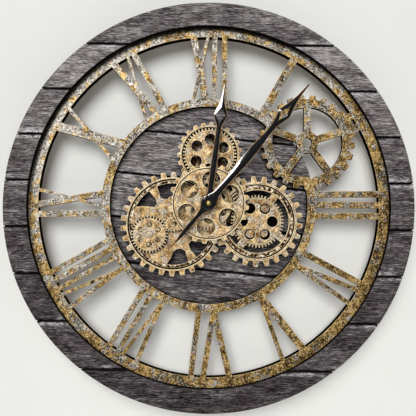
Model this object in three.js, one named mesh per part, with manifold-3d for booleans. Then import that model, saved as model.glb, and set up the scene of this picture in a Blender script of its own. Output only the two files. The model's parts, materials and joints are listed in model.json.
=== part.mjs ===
// Skeleton wall clock, 600 mm across: a plank frame ring over a cut-out dial plate, a plank disc in
// the middle, five show wheels turned by a hidden gear train, and two hands on a long-shaft movement.
// Millimetres. The face looks along -Y, +Z is up, and the wall is the plane Y = 0.
// Parts are drawn as seen from the front, x to the right and y up, with z the distance from the wall.
// Angles of the dial are clock angles: degrees clockwise from twelve.
import * as THREE from 'three';
import { mergeVertices } from 'three/addons/utils/BufferGeometryUtils.js';
import Module from 'manifold-3d';

const wasm = await Module();
wasm.setup();

// ---------------------------------------------------------------- driving dimensions
const GAP = 0.3; // between pieces that touch or are pressed together
const FRAME_R = 300;
const FRAME_INNER_R = 265.5;
const RIM_R = 275; // dial plate, hidden under the frame ring
const RIM_INNER_R = 252;
const HUB_RING_R = 158.5; // inner ring of the dial plate
const HUB_RING_INNER_R = 146.4;
const DISC_R = 158;

// distances from the wall
const CASE_BACK = 1.9;
const CASE_FRONT = 17.7;
const CASE_WALL = 1.5;
const COVER_THICK = 1.6;
const DISC_BACK = 18;
const PLATE_BACK = 23;
const DISC_FRONT = PLATE_BACK - GAP;
const PLATE_FRONT = 31;
const FRAME_BACK = PLATE_FRONT + GAP;
const FRAME_FRONT = 41;
const DRIVE_LEVEL = [26, 30.5]; // hidden drive gears
const LEFT_LEVEL = [32, 38];
const PINION_LEVEL = [38.6, 43];
const SIDE_LEVEL = [39, 45]; // right show wheel
const TOP_LEVEL = [39, 42.5];
const TOP_GEAR_LEVEL = [42.8, 45.3];
const CENTRE_LEVEL = [46, 52];
const HOUR_LEVEL = [54, 55.6];
const MINUTE_LEVEL = [58, 59.6];
const NUT_FRONT = 64;

// wheel axes
const LEFT = new THREE.Vector2(-52.4, -29.2);
const RIGHT = new THREE.Vector2(70.48, -25.64);
const TOP = new THREE.Vector2(1.59, 71.98);
const SMALL = new THREE.Vector2(LEFT.x - 33.55, LEFT.y - 15.55);
const ORIGIN = new THREE.Vector2(0, 0);

// hidden drive train: teeth and module
const DRIVE_MODULE = 3;
const SUN_TEETH = 28;
const RIGHT_TEETH = 22;
const TOP_TEETH = 20;
const LEFT_TEETH = 12;
const SMALL_MODULE = 1.45;
const SMALL_TEETH = 35;
const SMALL_PINION_TEETH = 16;
const SMALL_PHASE = 3.7;

// motion work behind the hands: 8/24 and 8/32 give 1 to 12
const CANNON_MODULE = 0.75;
const CANNON_TEETH = 8;
const MINUTE_WHEEL_TEETH = 24;
const HOUR_MODULE = 0.6;
const MINUTE_PINION_TEETH = 8;
const HOUR_WHEEL_TEETH = 32;
const MOTION_DISTANCE = 12;
const MINUTE_WHEEL_ANGLE = 60;
const KNOB_ANGLE = -10;

// geared drive motor behind the right show wheel: two 24/8 stages
const BOX_MODULE = 1.25;
const BOX_WHEEL_TEETH = 24;
const BOX_PINION_TEETH = 8;
const BOX_DISTANCE = 20;
const REDUCTION_ANGLE = 90;
const MOTOR_ANGLE = 50;

// shafts
const SHAFT_R = 1.6; // minute shaft
const HOUR_TUBE_R = [1.9, 2.9];
const BUSHING_R = [3.2, 4.2];
const SUN_TUBE_R = [4.5, 7];
const ARBOR_R = 3;
const ARBOR_BORE_R = ARBOR_R + GAP;
const BUSH_R = 5.5;
const STUD_R = 2.7;

// hands, at their rest angles
const HOUR_ANGLE = 7.8;
const MINUTE_ANGLE = 40.3;
const HAND_BOSS_R = 11.5;

// Numeral strokes by hour: offset across the hour line at radius 250, the same at radius 160, width.
const STROKE_OUTER_R = 250;
const STROKE_INNER_R = 160;
const NUMERALS = {
  12: [[-22, -4.7, 9.8], [-1, -22.3, 4.8], [9.6, 8.3, 7.5], [24.2, 23.8, 7.5]],
  1: [[2.3, 2.1, 11.5]],
  3: [[-14.7, -14.5, 9.3], [1.5, 1, 9.3], [18, 17.4, 9.3]],
  4: [[-10.5, -8, 9], [0, 13.5, 7], [23, 14.5, 6.5]],
  5: [[-13.2, 1, 11], [20, 3.5, 6.3]],
  6: [[-29.7, -7.8, 9], [7.8, -6.7, 8], [26, 15, 8.4]],
  7: [[-23.5, -13.5, 6.5], [-1.5, -13, 5], [7, 6.7, 7.2], [22, 20.5, 8.3]],
  8: [[-29, -18.5, 6.8], [-7.6, -19.2, 4.8], [2.4, 1.5, 7], [15.8, 15, 8.3], [28.8, 28, 7.8]],
  9: [[-14.2, -13.8, 9], [0.2, 15.3, 9.5], [21.5, -1.7, 5.2]],
  10: [[-11, 13, 14], [18.7, -12, 6]],
  11: [[-17.2, 0.5, 10], [5.5, -16.5, 5], [15.8, 15, 9]],
};

// ornamental wheel cut in the dial plate at two o'clock
const ORNAMENT = new THREE.Vector2(147, 92.5);
const ORNAMENT_TIP_R = 71;
const ORNAMENT_ROOT_R = 65;
const ORNAMENT_WINDOW_R = 52.5;
const ORNAMENT_SPOKE = 10.5;

// ---------------------------------------------------------------- materials
function finish(color, roughness, metalness) {
  return new THREE.MeshStandardMaterial({ color, roughness, metalness });
}
const WOOD = finish(0x4a4648, 0.8, 0);
const GOLD = finish(0xc9a45c, 0.55, 0.5);
const PALE_GOLD = finish(0xdcc08a, 0.5, 0.5);
const BLACK = finish(0x101012, 0.25, 0.1);
const BRASS = finish(0xc2a050, 0.35, 0.9);
const STEEL = finish(0x9a9c9f, 0.35, 0.9);
const PLASTIC = finish(0x1d1d1f, 0.5, 0);
const NYLON = finish(0xe6e2d6, 0.5, 0);
const CELL = finish(0x2e5d4a, 0.4, 0.2);
const COPPER = finish(0xb06a3a, 0.4, 0.8);
const BOARD = finish(0x2f6b3c, 0.6, 0);
const RUBBER = finish(0x2a2a2a, 0.9, 0);

// ---------------------------------------------------------------- outlines and solids
function polar(radius, angle, centre = ORIGIN) {
  const a = THREE.MathUtils.degToRad(angle);
  return new THREE.Vector2(centre.x + radius * Math.sin(a), centre.y + radius * Math.cos(a));
}

function bearing(from, to) {
  return THREE.MathUtils.radToDeg(Math.atan2(to.x - from.x, to.y - from.y));
}

function circle(radius, count, centre = ORIGIN) {
  return Array.from({ length: count }, (_, i) => polar(radius, (i * 360) / count, centre));
}

function arc(radius, from, to, count, centre = ORIGIN) {
  const step = (to - from) / count;
  return Array.from({ length: count + 1 }, (_, i) => polar(radius, from + i * step, centre));
}

// A part of a wheel's face between two spokes with parallel sides.
function spokeWindow(inner, outer, first, second, spoke, centre) {
  const lean = (radius) => THREE.MathUtils.radToDeg(Math.asin(spoke / 2 / radius));
  return [
    ...arc(outer, first + lean(outer), second - lean(outer), 8, centre),
    ...arc(inner, second - lean(inner), first + lean(inner), 3, centre),
  ];
}

// Square-cut teeth of a show wheel, as shares of the pitch at the tip and at the root.
function toothedOutline(count, tip, root, phase, tipShare, rootShare, centre) {
  const pitch = 360 / count;
  return Array.from({ length: count }, (_, i) => {
    const at = phase + i * pitch;
    return [
      polar(root, at - (rootShare * pitch) / 2, centre),
      polar(tip, at - (tipShare * pitch) / 2, centre),
      polar(tip, at + (tipShare * pitch) / 2, centre),
      polar(root, at + (rootShare * pitch) / 2, centre),
    ];
  }).flat();
}

// Working teeth: the flanks join the involute's thickness at the root and at the tip.
function gearOutline(teeth, module, phase, centre, play = 0.12) {
  const pressure = THREE.MathUtils.degToRad(20);
  const involute = (a) => Math.tan(a) - a;
  const pitchR = (teeth * module) / 2;
  const tip = pitchR + 0.85 * module;
  const root = pitchR - 1.2 * module;
  const base = pitchR * Math.cos(pressure);
  const half = Math.PI / 2 / teeth + involute(pressure) - (play * module) / 2 / pitchR;
  const tipHalf = THREE.MathUtils.radToDeg(half - involute(Math.acos(base / tip)));
  const low = Math.max(root, base);
  const rootHalf = THREE.MathUtils.radToDeg(half - involute(Math.acos(base / low)));
  return Array.from({ length: teeth }, (_, i) => {
    const at = phase + (i * 360) / teeth;
    return [
      polar(root, at - rootHalf, centre),
      polar(tip, at - tipHalf, centre),
      polar(tip, at + tipHalf, centre),
      polar(root, at + rootHalf, centre),
    ];
  }).flat();
}

// The clock angle of a tooth of the second gear, so that it meshes with the first.
function meshPhase(teethA, phaseA, centreA, teethB, centreB) {
  const line = bearing(centreA, centreB);
  return line + 180 + (180 + (line - phaseA) * teethA) / teethB;
}

function plate(outline, holes, level) {
  const clockwise = THREE.ShapeUtils.isClockWise(outline);
  const shape = new THREE.Shape(clockwise ? [...outline].reverse() : outline);
  shape.holes = holes.map((points) => new THREE.Path(points));
  const depth = level[1] - level[0];
  const geometry = new THREE.ExtrudeGeometry(shape, { depth, bevelEnabled: false, steps: 1 });
  return geometry.translate(0, 0, level[0]);
}

function solid(geometry) {
  const bare = geometry.clone().deleteAttribute('normal').deleteAttribute('uv');
  const merged = mergeVertices(bare, 1e-4);
  return new wasm.Manifold(
    new wasm.Mesh({
      numProp: 3,
      vertProperties: merged.attributes.position.array,
      triVerts: new Uint32Array(merged.index.array),
    }),
  );
}

function geometryOf(manifold) {
  const { vertProperties, triVerts } = manifold.getMesh();
  const geometry = new THREE.BufferGeometry();
  geometry.setAttribute('position', new THREE.BufferAttribute(vertProperties, 3));
  geometry.setIndex(new THREE.BufferAttribute(triVerts, 1));
  geometry.computeVertexNormals();
  return geometry;
}

function round(radius, level, centre = ORIGIN, count = 18) {
  return solid(plate(circle(radius, count, centre), [], level));
}

function slab(x, y, level) {
  const box = new THREE.BoxGeometry(x[1] - x[0], y[1] - y[0], level[1] - level[0]);
  return solid(box.translate((x[0] + x[1]) / 2, (y[0] + y[1]) / 2, (level[0] + level[1]) / 2));
}

function rod(radius, x, y, z, count = 24) {
  const cylinder = new THREE.CylinderGeometry(radius, radius, x[1] - x[0], count);
  return solid(cylinder.rotateZ(Math.PI / 2).translate((x[0] + x[1]) / 2, y, z));
}

// A turned piece: steps of radius and level on one axis, joined end to end.
function turned(steps, centre, count = 18) {
  return steps
    .map(([radius, from, to]) => round(radius, [from, to], centre, count))
    .reduce((whole, step) => whole.add(step));
}

const clock = new THREE.Group();
clock.rotation.x = Math.PI / 2;

function add(name, shape, material) {
  const mesh = new THREE.Mesh(shape.isBufferGeometry ? shape : geometryOf(shape), material);
  mesh.name = name;
  clock.add(mesh);
}

// ---------------------------------------------------------------- frame, dial plate and disc
const DISC_SCREW_ANGLES = [45, 165, 285];
const DISC_SCREW_R = 152.5;
const SCREW_R = 1.6;
const SCREW_HOLE_R = SCREW_R + GAP;
const SCREW_HEAD_R = 3.4;
const SPACER_ANGLES = [45, 135, 225, 315];
const SPACER_R = 287.5;
const HANGER_Y = 283.5;
const HANGER_SCREWS = [new THREE.Vector2(-18, HANGER_Y), new THREE.Vector2(18, HANGER_Y)];
const HANGER_LEVEL = [FRAME_BACK - GAP - 1.2, FRAME_BACK - GAP];

function frameRing() {
  const level = [FRAME_BACK, FRAME_FRONT];
  const ring = solid(plate(circle(FRAME_R, 96), [circle(FRAME_INNER_R, 96)], level));
  return HANGER_SCREWS.reduce(
    (whole, at) => whole.subtract(round(SCREW_HOLE_R, [FRAME_BACK - 1, 38.3], at, 10)),
    ring,
  );
}

function numeralStroke([outer, inner, width], hour) {
  const slope = (outer - inner) / (STROKE_OUTER_R - STROKE_INNER_R);
  const offset = (radius) => inner + slope * (radius - STROKE_INNER_R);
  const high = RIM_INNER_R + 5;
  const low = HUB_RING_R - 5;
  const corners = [
    new THREE.Vector2(offset(high) - width / 2, high),
    new THREE.Vector2(offset(high) + width / 2, high),
    new THREE.Vector2(offset(low) + width / 2, low),
    new THREE.Vector2(offset(low) - width / 2, low),
  ];
  const turn = -THREE.MathUtils.degToRad(30 * hour);
  return solid(plate(corners, [], [PLATE_BACK, PLATE_FRONT]).rotateZ(turn));
}

function dialPlate() {
  const level = [PLATE_BACK, PLATE_FRONT];
  const through = [PLATE_BACK - 1, PLATE_FRONT + 1];
  let whole = solid(plate(circle(RIM_R, 96), [circle(RIM_INNER_R, 96)], level));
  whole = whole.add(solid(plate(circle(HUB_RING_R, 72), [circle(HUB_RING_INNER_R, 72)], level)));
  for (const [hour, strokes] of Object.entries(NUMERALS)) {
    for (const stroke of strokes) whole = whole.add(numeralStroke(stroke, hour));
  }
  const teeth = toothedOutline(25, ORNAMENT_TIP_R, ORNAMENT_ROOT_R, 7.8, 0.4, 0.62, ORNAMENT);
  const link = slab([-13, 17], [225, RIM_INNER_R + 5], level).subtract(
    slab([-2.5, 6.5], [245, RIM_INNER_R - 1], through),
  );
  whole = whole.add(link.rotate(0, 0, -60)).add(solid(plate(teeth, [], level)));
  for (let i = 0; i < 5; i++) {
    const first = 0.8 + i * 72;
    const window = spokeWindow(16.5, ORNAMENT_WINDOW_R, first, first + 72, ORNAMENT_SPOKE, ORNAMENT);
    whole = whole.subtract(solid(plate(window, [], through)));
  }
  whole = whole.subtract(round(7.3, through, ORNAMENT, 20));
  for (const angle of DISC_SCREW_ANGLES) {
    const at = polar(DISC_SCREW_R, angle);
    whole = whole.subtract(round(SCREW_HOLE_R, [PLATE_BACK - 1, 28.3], at, 10));
  }
  return whole.asOriginal();
}

function centreDisc() {
  const holes = DISC_SCREW_ANGLES.map((angle) => circle(SCREW_HOLE_R, 10, polar(DISC_SCREW_R, angle)));
  for (const at of [LEFT, RIGHT, TOP]) holes.push(circle(BUSH_R + GAP, 20, at));
  holes.push(circle(BUSHING_R[1] + GAP, 20));
  return plate(circle(DISC_R, 72), holes, [DISC_BACK, DISC_FRONT]);
}

function screw(at, head, tip) {
  return turned([[SCREW_HEAD_R, head - 1.6, head], [SCREW_R, head, tip]], at, 10);
}

function hangerPlate() {
  const outline = [[-25, -7], [25, -7], [25, 7], [-25, 7]];
  const corners = outline.map(([x, y]) => new THREE.Vector2(x, y + HANGER_Y));
  const keyhole = [
    ...arc(4, 150, -150, 10, new THREE.Vector2(0, HANGER_Y - 2)),
    ...arc(2, -60, 60, 4, new THREE.Vector2(0, HANGER_Y + 4)),
  ];
  const holes = HANGER_SCREWS.map((at) => circle(SCREW_HOLE_R, 10, at));
  return plate(corners, [keyhole, ...holes], HANGER_LEVEL);
}

add('frame_ring', frameRing(), WOOD);
add('dial_plate', dialPlate(), GOLD);
add('centre_disc', centreDisc(), WOOD);
SPACER_ANGLES.forEach((angle, i) => {
  add(`wall_spacer_${i + 1}`, round(10, [0, FRAME_BACK - GAP], polar(SPACER_R, angle)), RUBBER);
});
add('hanger_plate', hangerPlate(), STEEL);
HANGER_SCREWS.forEach((at, i) => {
  add(`hanger_screw_${i + 1}`, screw(at, HANGER_LEVEL[0] - GAP, 38), STEEL);
});
DISC_SCREW_ANGLES.forEach((angle, i) => {
  add(`disc_screw_${i + 1}`, screw(polar(DISC_SCREW_R, angle), DISC_BACK - GAP, 28), STEEL);
});

// ---------------------------------------------------------------- show wheels
function ringOfHoles(radius, count, distance, first, centre) {
  return Array.from({ length: count }, (_, i) => {
    return circle(radius, 14, polar(distance, first + (i * 360) / count, centre));
  });
}

function leftWheel() {
  const at = (x, y) => new THREE.Vector2(LEFT.x + x, LEFT.y + y);
  const windowR = 59.7;
  const windows = [0, 180].flatMap((turn) => {
    const flip = turn === 180 ? -1 : 1;
    const from = (x, y) => at(flip * x, flip * y);
    return [
      [
        ...arc(windowR, turn - 65, turn - 36, 5, LEFT),
        from(-25.5, 37),
        from(-23, 30),
        from(-27, 24.5),
        from(-40, 26),
      ],
      [
        ...arc(windowR, turn - 23, turn + 9, 5, LEFT),
        from(3, 50),
        from(0, 42),
        from(-5, 37),
        from(-12, 36),
        from(-18, 39),
      ],
    ];
  });
  const outline = toothedOutline(30, 76, 69.5, 0.9, 0.36, 0.62, LEFT);
  const clear = circle(9, 24);
  const bore = circle(ARBOR_R + 0.6, 20, LEFT);
  const stud = circle(STUD_R + GAP, 20, SMALL);
  return plate(outline, [...windows, clear, bore, stud], LEFT_LEVEL);
}

function rightWheel() {
  const outline = toothedOutline(25, 65.5, 59, 9, 0.3, 0.6, RIGHT);
  const windows = [34, 124, 214, 304].map((a) => spokeWindow(36.5, 44.5, a, a + 90, 10.4, RIGHT));
  const holes = ringOfHoles(8, 6, 21.5, 31, RIGHT);
  return plate(outline, [...windows, ...holes, circle(ARBOR_BORE_R, 14, RIGHT)], SIDE_LEVEL);
}

function topWheel() {
  const outline = toothedOutline(23, 47.5, 43.5, 3.7, 0.3, 0.62, TOP);
  const holes = ringOfHoles(8.4, 6, 22, 3, TOP);
  return plate(outline, [...holes, circle(ARBOR_BORE_R, 14, TOP)], TOP_LEVEL);
}

function topInnerGear() {
  const outline = toothedOutline(48, 39, 36, 5.8, 0.3, 0.6, TOP);
  const holes = ringOfHoles(8.4, 6, 22, 3, TOP);
  return plate(outline, [...holes, circle(ARBOR_BORE_R, 14, TOP)], TOP_GEAR_LEVEL);
}

function centreWheel() {
  const outline = toothedOutline(24, 58, 53, 6.2, 0.32, 0.62, ORIGIN);
  const holes = ringOfHoles(13, 6, 34, 6.5, ORIGIN);
  return plate(outline, [...holes, circle(SUN_TUBE_R[1] + GAP, 24)], CENTRE_LEVEL);
}

add('left_wheel', leftWheel(), PALE_GOLD);
add('right_wheel', rightWheel(), PALE_GOLD);
add('top_wheel', topWheel(), PALE_GOLD);
add('top_inner_gear', topInnerGear(), PALE_GOLD);
add('centre_wheel', centreWheel(), PALE_GOLD);
[180, 270, 340].forEach((angle, i) => {
  const post = round(3.5, [PLATE_BACK, LEFT_LEVEL[0] - GAP], polar(64.6, angle, LEFT), 16);
  add(`wheel_post_${i + 1}`, post, BRASS);
});

// ---------------------------------------------------------------- hidden drive train
function driveGear(teeth, phase, centre, bore) {
  return plate(gearOutline(teeth, DRIVE_MODULE, phase, centre), [circle(bore, 24, centre)], DRIVE_LEVEL);
}

function sunGear() {
  const tube = plate(circle(SUN_TUBE_R[1], 24), [circle(SUN_TUBE_R[0], 24)], [26, CENTRE_LEVEL[1] + 1]);
  return solid(driveGear(SUN_TEETH, 0, ORIGIN, SUN_TUBE_R[0])).add(solid(tube));
}

function arborBush(centre) {
  const outer = turned([[BUSH_R, 16.3, PLATE_BACK], [BUSH_R + 2, PLATE_BACK, 24.5]], centre, 20);
  return outer.subtract(round(ARBOR_BORE_R, [16, 25], centre, 20));
}

function smallPinionArbor() {
  const phase = meshPhase(SMALL_TEETH, SMALL_PHASE, SMALL, SMALL_PINION_TEETH, LEFT);
  const teeth = gearOutline(SMALL_PINION_TEETH, SMALL_MODULE, phase, LEFT);
  const arbor = turned([[ARBOR_R, 15.5, PINION_LEVEL[0]], [4, PINION_LEVEL[1], 44.5]], LEFT);
  return arbor.add(solid(plate(teeth, [], PINION_LEVEL)));
}

function smallGear() {
  const outline = gearOutline(SMALL_TEETH, SMALL_MODULE, SMALL_PHASE, SMALL);
  return plate(outline, [circle(STUD_R + GAP, 20, SMALL)], [PINION_LEVEL[0], 42.6]);
}

for (const [side, centre, teeth] of [
  ['right', RIGHT, RIGHT_TEETH],
  ['top', TOP, TOP_TEETH],
  ['left', LEFT, LEFT_TEETH],
]) {
  const phase = meshPhase(SUN_TEETH, 0, ORIGIN, teeth, centre);
  add(`${side}_drive_gear`, driveGear(teeth, phase, centre, ARBOR_BORE_R), BRASS);
  add(`${side}_bush`, arborBush(centre), BRASS);
}
add('sun_gear', sunGear(), BRASS);
add('right_arbor', turned([[1.5, 3, 11.6], [ARBOR_R, 11.6, 47]], RIGHT), STEEL);
add('top_arbor', turned([[ARBOR_R, 15.5, 47]], TOP), STEEL);
add('left_pinion_arbor', smallPinionArbor(), BRASS);
add('small_gear', smallGear(), PALE_GOLD);
add('small_gear_stud', turned([[STUD_R, 33, 43], [4.5, 43, 44.5]], SMALL), BRASS);

// ---------------------------------------------------------------- time movement
const MINUTE_WHEEL = polar(MOTION_DISTANCE, MINUTE_WHEEL_ANGLE);
const KNOB = polar(MOTION_DISTANCE, KNOB_ANGLE, MINUTE_WHEEL);
const MOVEMENT_HALF = 28;
const CELL_R = 7;
const CELL_Z = 8.95;
const CELL_LENGTH = 50.2;
const MOVEMENT_CELL_Y = -19.3;
const MOTION_LEVEL = [5.2, 7.2]; // cannon pinion, minute wheel and knob pinion
const HOUR_WHEEL_LEVEL = [9, 11.5];

// A tray open towards the wall, with round holes through its front.
function tray(x, y, holes) {
  const whole = slab(x, y, [CASE_BACK, CASE_FRONT]);
  const inside = slab(
    [x[0] + CASE_WALL, x[1] - CASE_WALL],
    [y[0] + CASE_WALL, y[1] - CASE_WALL],
    [CASE_BACK - 1, CASE_FRONT - CASE_WALL],
  );
  return holes.reduce(
    (left, [radius, at]) => left.subtract(round(radius, [CASE_FRONT - 3, CASE_FRONT + 1], at, 20)),
    whole.subtract(inside),
  );
}

function cell(left, y) {
  const body = rod(CELL_R, [left, left + CELL_LENGTH - 1.4], y, CELL_Z);
  return body.add(rod(2.6, [left + CELL_LENGTH - 2, left + CELL_LENGTH], y, CELL_Z, 12));
}

function contact(x, y) {
  return slab([x, x + 0.5], [y - 5, y + 5], [3, 14]);
}

function motionGear(teeth, module, phase, centre, level) {
  return solid(plate(gearOutline(teeth, module, phase, centre), [], level));
}

const minuteWheelPhase = meshPhase(CANNON_TEETH, 0, ORIGIN, MINUTE_WHEEL_TEETH, MINUTE_WHEEL);
const hourWheelPhase = meshPhase(MINUTE_PINION_TEETH, 0, MINUTE_WHEEL, HOUR_WHEEL_TEETH, ORIGIN);
const knobPhase = meshPhase(MINUTE_WHEEL_TEETH, minuteWheelPhase, MINUTE_WHEEL, CANNON_TEETH, KNOB);

function minuteShaft() {
  const cannon = motionGear(CANNON_TEETH, CANNON_MODULE, 0, ORIGIN, MOTION_LEVEL);
  return cannon.add(round(SHAFT_R, [3, 61.5]));
}

function minuteWheel() {
  const phase = minuteWheelPhase;
  const wheel = motionGear(MINUTE_WHEEL_TEETH, CANNON_MODULE, phase, MINUTE_WHEEL, MOTION_LEVEL);
  const pinionLevel = [MOTION_LEVEL[1], HOUR_WHEEL_LEVEL[1] + 0.3];
  const pinion = motionGear(MINUTE_PINION_TEETH, HOUR_MODULE, 0, MINUTE_WHEEL, pinionLevel);
  return wheel.add(pinion).add(round(1, [3.5, 14], MINUTE_WHEEL, 12));
}

function hourTube() {
  const wheel = motionGear(HOUR_WHEEL_TEETH, HOUR_MODULE, hourWheelPhase, ORIGIN, HOUR_WHEEL_LEVEL);
  const tube = round(HOUR_TUBE_R[1], [HOUR_WHEEL_LEVEL[0], HOUR_LEVEL[1] + 0.4]);
  return wheel.add(tube).subtract(round(HOUR_TUBE_R[0], [5, 60]));
}

function settingKnob() {
  const pinion = motionGear(CANNON_TEETH, CANNON_MODULE, knobPhase, KNOB, MOTION_LEVEL);
  const grip = solid(plate(toothedOutline(18, 5.6, 5.1, 0, 0.35, 0.7, KNOB), [], [0.4, 2.4]));
  return pinion.add(grip).add(round(2, [2.4, MOTION_LEVEL[1]], KNOB, 16));
}

function shaftBushing() {
  const outer = turned([[6, 13.9, 15.9], [BUSHING_R[1], 15.9, 52.4]], ORIGIN);
  return outer.subtract(round(BUSHING_R[0], [10, 60]));
}

const movementSide = [-MOVEMENT_HALF, MOVEMENT_HALF];
const cover = slab(movementSide, movementSide, [0, COVER_THICK]);
add('movement_case', tray(movementSide, movementSide, [[BUSHING_R[1] + GAP, ORIGIN]]), PLASTIC);
add('movement_cover', cover.subtract(round(6.2, [-1, 3], KNOB)), PLASTIC);
add('movement_battery', cell(-25, MOVEMENT_CELL_Y), CELL);
add('movement_contact_minus', contact(-25.9, MOVEMENT_CELL_Y), STEEL);
add('movement_contact_plus', contact(25.5, MOVEMENT_CELL_Y), STEEL);
add('step_motor_coil', slab([-24, -4], [13, 20], [4, 10]), COPPER);
add('circuit_board', slab([-25, -7], [-10, 11], [12.2, 13.4]), BOARD);
add('minute_shaft', minuteShaft(), STEEL);
add('minute_wheel', minuteWheel(), NYLON);
add('hour_tube', hourTube(), BRASS);
add('setting_knob', settingKnob(), NYLON);
add('shaft_bushing', shaftBushing(), BRASS);
add('bushing_nut', plate(circle(7, 6), [circle(BUSHING_R[1] + GAP, 24)], [PLATE_BACK, 25.6]), BRASS);

// ---------------------------------------------------------------- geared drive motor
const BOX_X = [46, 122];
const BOX_Y = [-62, 2];
const BOX_CELL_X = 57;
const BOX_CELL_Y = -52.5;
const OUTPUT_LEVEL = [12, 15];
const REDUCTION_LEVEL = [7.6, 10.8];
const SWITCH_TRAVEL = 4;
const REDUCTION = polar(BOX_DISTANCE, REDUCTION_ANGLE, RIGHT);
const MOTOR = polar(BOX_DISTANCE, MOTOR_ANGLE, REDUCTION);

function boxGear(teeth, phase, centre, level) {
  return solid(plate(gearOutline(teeth, BOX_MODULE, phase, centre), [], level));
}

const reductionPhase = meshPhase(BOX_WHEEL_TEETH, 0, RIGHT, BOX_PINION_TEETH, REDUCTION);
const motorPhase = meshPhase(BOX_WHEEL_TEETH, 0, REDUCTION, BOX_PINION_TEETH, MOTOR);

function outputGear() {
  const gear = boxGear(BOX_WHEEL_TEETH, 0, RIGHT, OUTPUT_LEVEL);
  return gear.subtract(round(ARBOR_BORE_R, [10, 17], RIGHT));
}

function reductionGear() {
  const wheel = boxGear(BOX_WHEEL_TEETH, 0, REDUCTION, REDUCTION_LEVEL);
  const level = [REDUCTION_LEVEL[1], OUTPUT_LEVEL[1] + 0.3];
  const pinion = boxGear(BOX_PINION_TEETH, reductionPhase, REDUCTION, level);
  return wheel.add(pinion).add(round(1.2, [2.4, 15.9], REDUCTION, 12));
}

function motorPinion() {
  const pinion = boxGear(BOX_PINION_TEETH, motorPhase, MOTOR, [7.6, 11]);
  return pinion.add(round(1.2, [4, 7.6], MOTOR, 12));
}

function driveMotor() {
  return plate(circle(11.5, 32, MOTOR), [circle(1.5, 12, MOTOR)], [2.2, 6.8]);
}

function driveCase() {
  const slot = slab(
    [BOX_X[1] - 3, BOX_X[1] + 1],
    [BOX_CELL_Y + 1.9, BOX_CELL_Y + 7.1 + SWITCH_TRAVEL],
    [6.6, 10.4],
  );
  return tray(BOX_X, BOX_Y, [[BUSH_R + GAP, RIGHT]]).subtract(slot);
}

function switchSlider() {
  const inside = BOX_X[1] - CASE_WALL - GAP;
  const base = slab([inside - 2.5, inside], [BOX_CELL_Y - 0.5, BOX_CELL_Y + 8.5], [5, 12]);
  const button = slab([inside - 1, BOX_X[1] + 3], [BOX_CELL_Y + 2.5, BOX_CELL_Y + 6.5], [7, 10]);
  return base.add(button);
}

add('drive_case', driveCase(), PLASTIC);
add('drive_cover', slab(BOX_X, BOX_Y, [0, COVER_THICK]), PLASTIC);
add('drive_motor', driveMotor(), STEEL);
add('motor_pinion', motorPinion(), BRASS);
add('reduction_gear', reductionGear(), NYLON);
add('output_gear', outputGear(), NYLON);
add('drive_battery', cell(BOX_CELL_X, BOX_CELL_Y), CELL);
add('drive_contact_minus', contact(BOX_CELL_X - 0.9, BOX_CELL_Y), STEEL);
add('drive_contact_plus', contact(BOX_CELL_X + CELL_LENGTH + 0.4, BOX_CELL_Y), STEEL);
add('drive_switch', switchSlider(), NYLON);

// ---------------------------------------------------------------- hands
// A blade along its own centre line, as [distance from the axis, half width], with a diamond window.
function hand(halfWidths, windowPoints, angle, level, bore) {
  const turn = -THREE.MathUtils.degToRad(angle);
  const right = halfWidths.map(([r, half]) => new THREE.Vector2(half, r));
  const left = halfWidths.map(([r, half]) => new THREE.Vector2(-half, r)).reverse();
  const window = windowPoints.map(([x, r]) => new THREE.Vector2(x, r));
  const blade = solid(plate([...right, ...left], [window], level));
  const whole = blade.add(round(HAND_BOSS_R, level, ORIGIN, 32));
  return whole.rotate(0, 0, THREE.MathUtils.radToDeg(turn)).subtract(round(bore, [50, 70]));
}

const HOUR_BLADE = [
  [9, 7], [14, 4.6], [22, 4], [60, 4.4], [100, 3.5], [112, 3.6], [118, 6], [128, 10],
  [136, 7.6], [143, 4.6], [152, 2.8], [162, 1.5], [173, 0.4],
];
const MINUTE_BLADE = [
  [-78, 0.5], [-70, 1.5], [-60, 3], [-45, 3.8], [-25, 3.1], [-15, 4.2], [-9, 7],
  [9, 8.5], [16, 5.6], [24, 4.6], [40, 4.8], [80, 6.4], [100, 6], [130, 3.8], [140, 3.8],
  [150, 4.8], [168, 9.4], [182, 5.6], [192, 3.4], [202, 1.8], [224, 0.5],
];

add(
  'hour_hand',
  hand(HOUR_BLADE, [[0, 117], [7.4, 128], [0, 139], [-7.4, 128]], HOUR_ANGLE, HOUR_LEVEL, 3.2),
  BLACK,
);
add(
  'minute_hand',
  hand(MINUTE_BLADE, [[0, 156], [5.2, 167.5], [0, 178], [-5.2, 167.5]], MINUTE_ANGLE, MINUTE_LEVEL, 1.9),
  BLACK,
);
const nut = turned([[3.3, MINUTE_LEVEL[1] + GAP, 62], [2.6, 62, NUT_FRONT]], ORIGIN, 12);
add('hand_nut', nut.subtract(round(SHAFT_R + GAP, [59, 61.8])), BRASS);

export default clock;
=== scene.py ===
"""Looks of the skeleton wall clock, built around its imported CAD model.

Shapes are drawn in dial millimetres, as the clock is seen from the front: x to the right, y up and w
the distance from the wall. Angles of the dial are clock angles, in degrees clockwise from twelve.
"""

import json
import math

import bmesh
import bpy
import numpy as np
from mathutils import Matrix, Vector, geometry, noise


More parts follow.
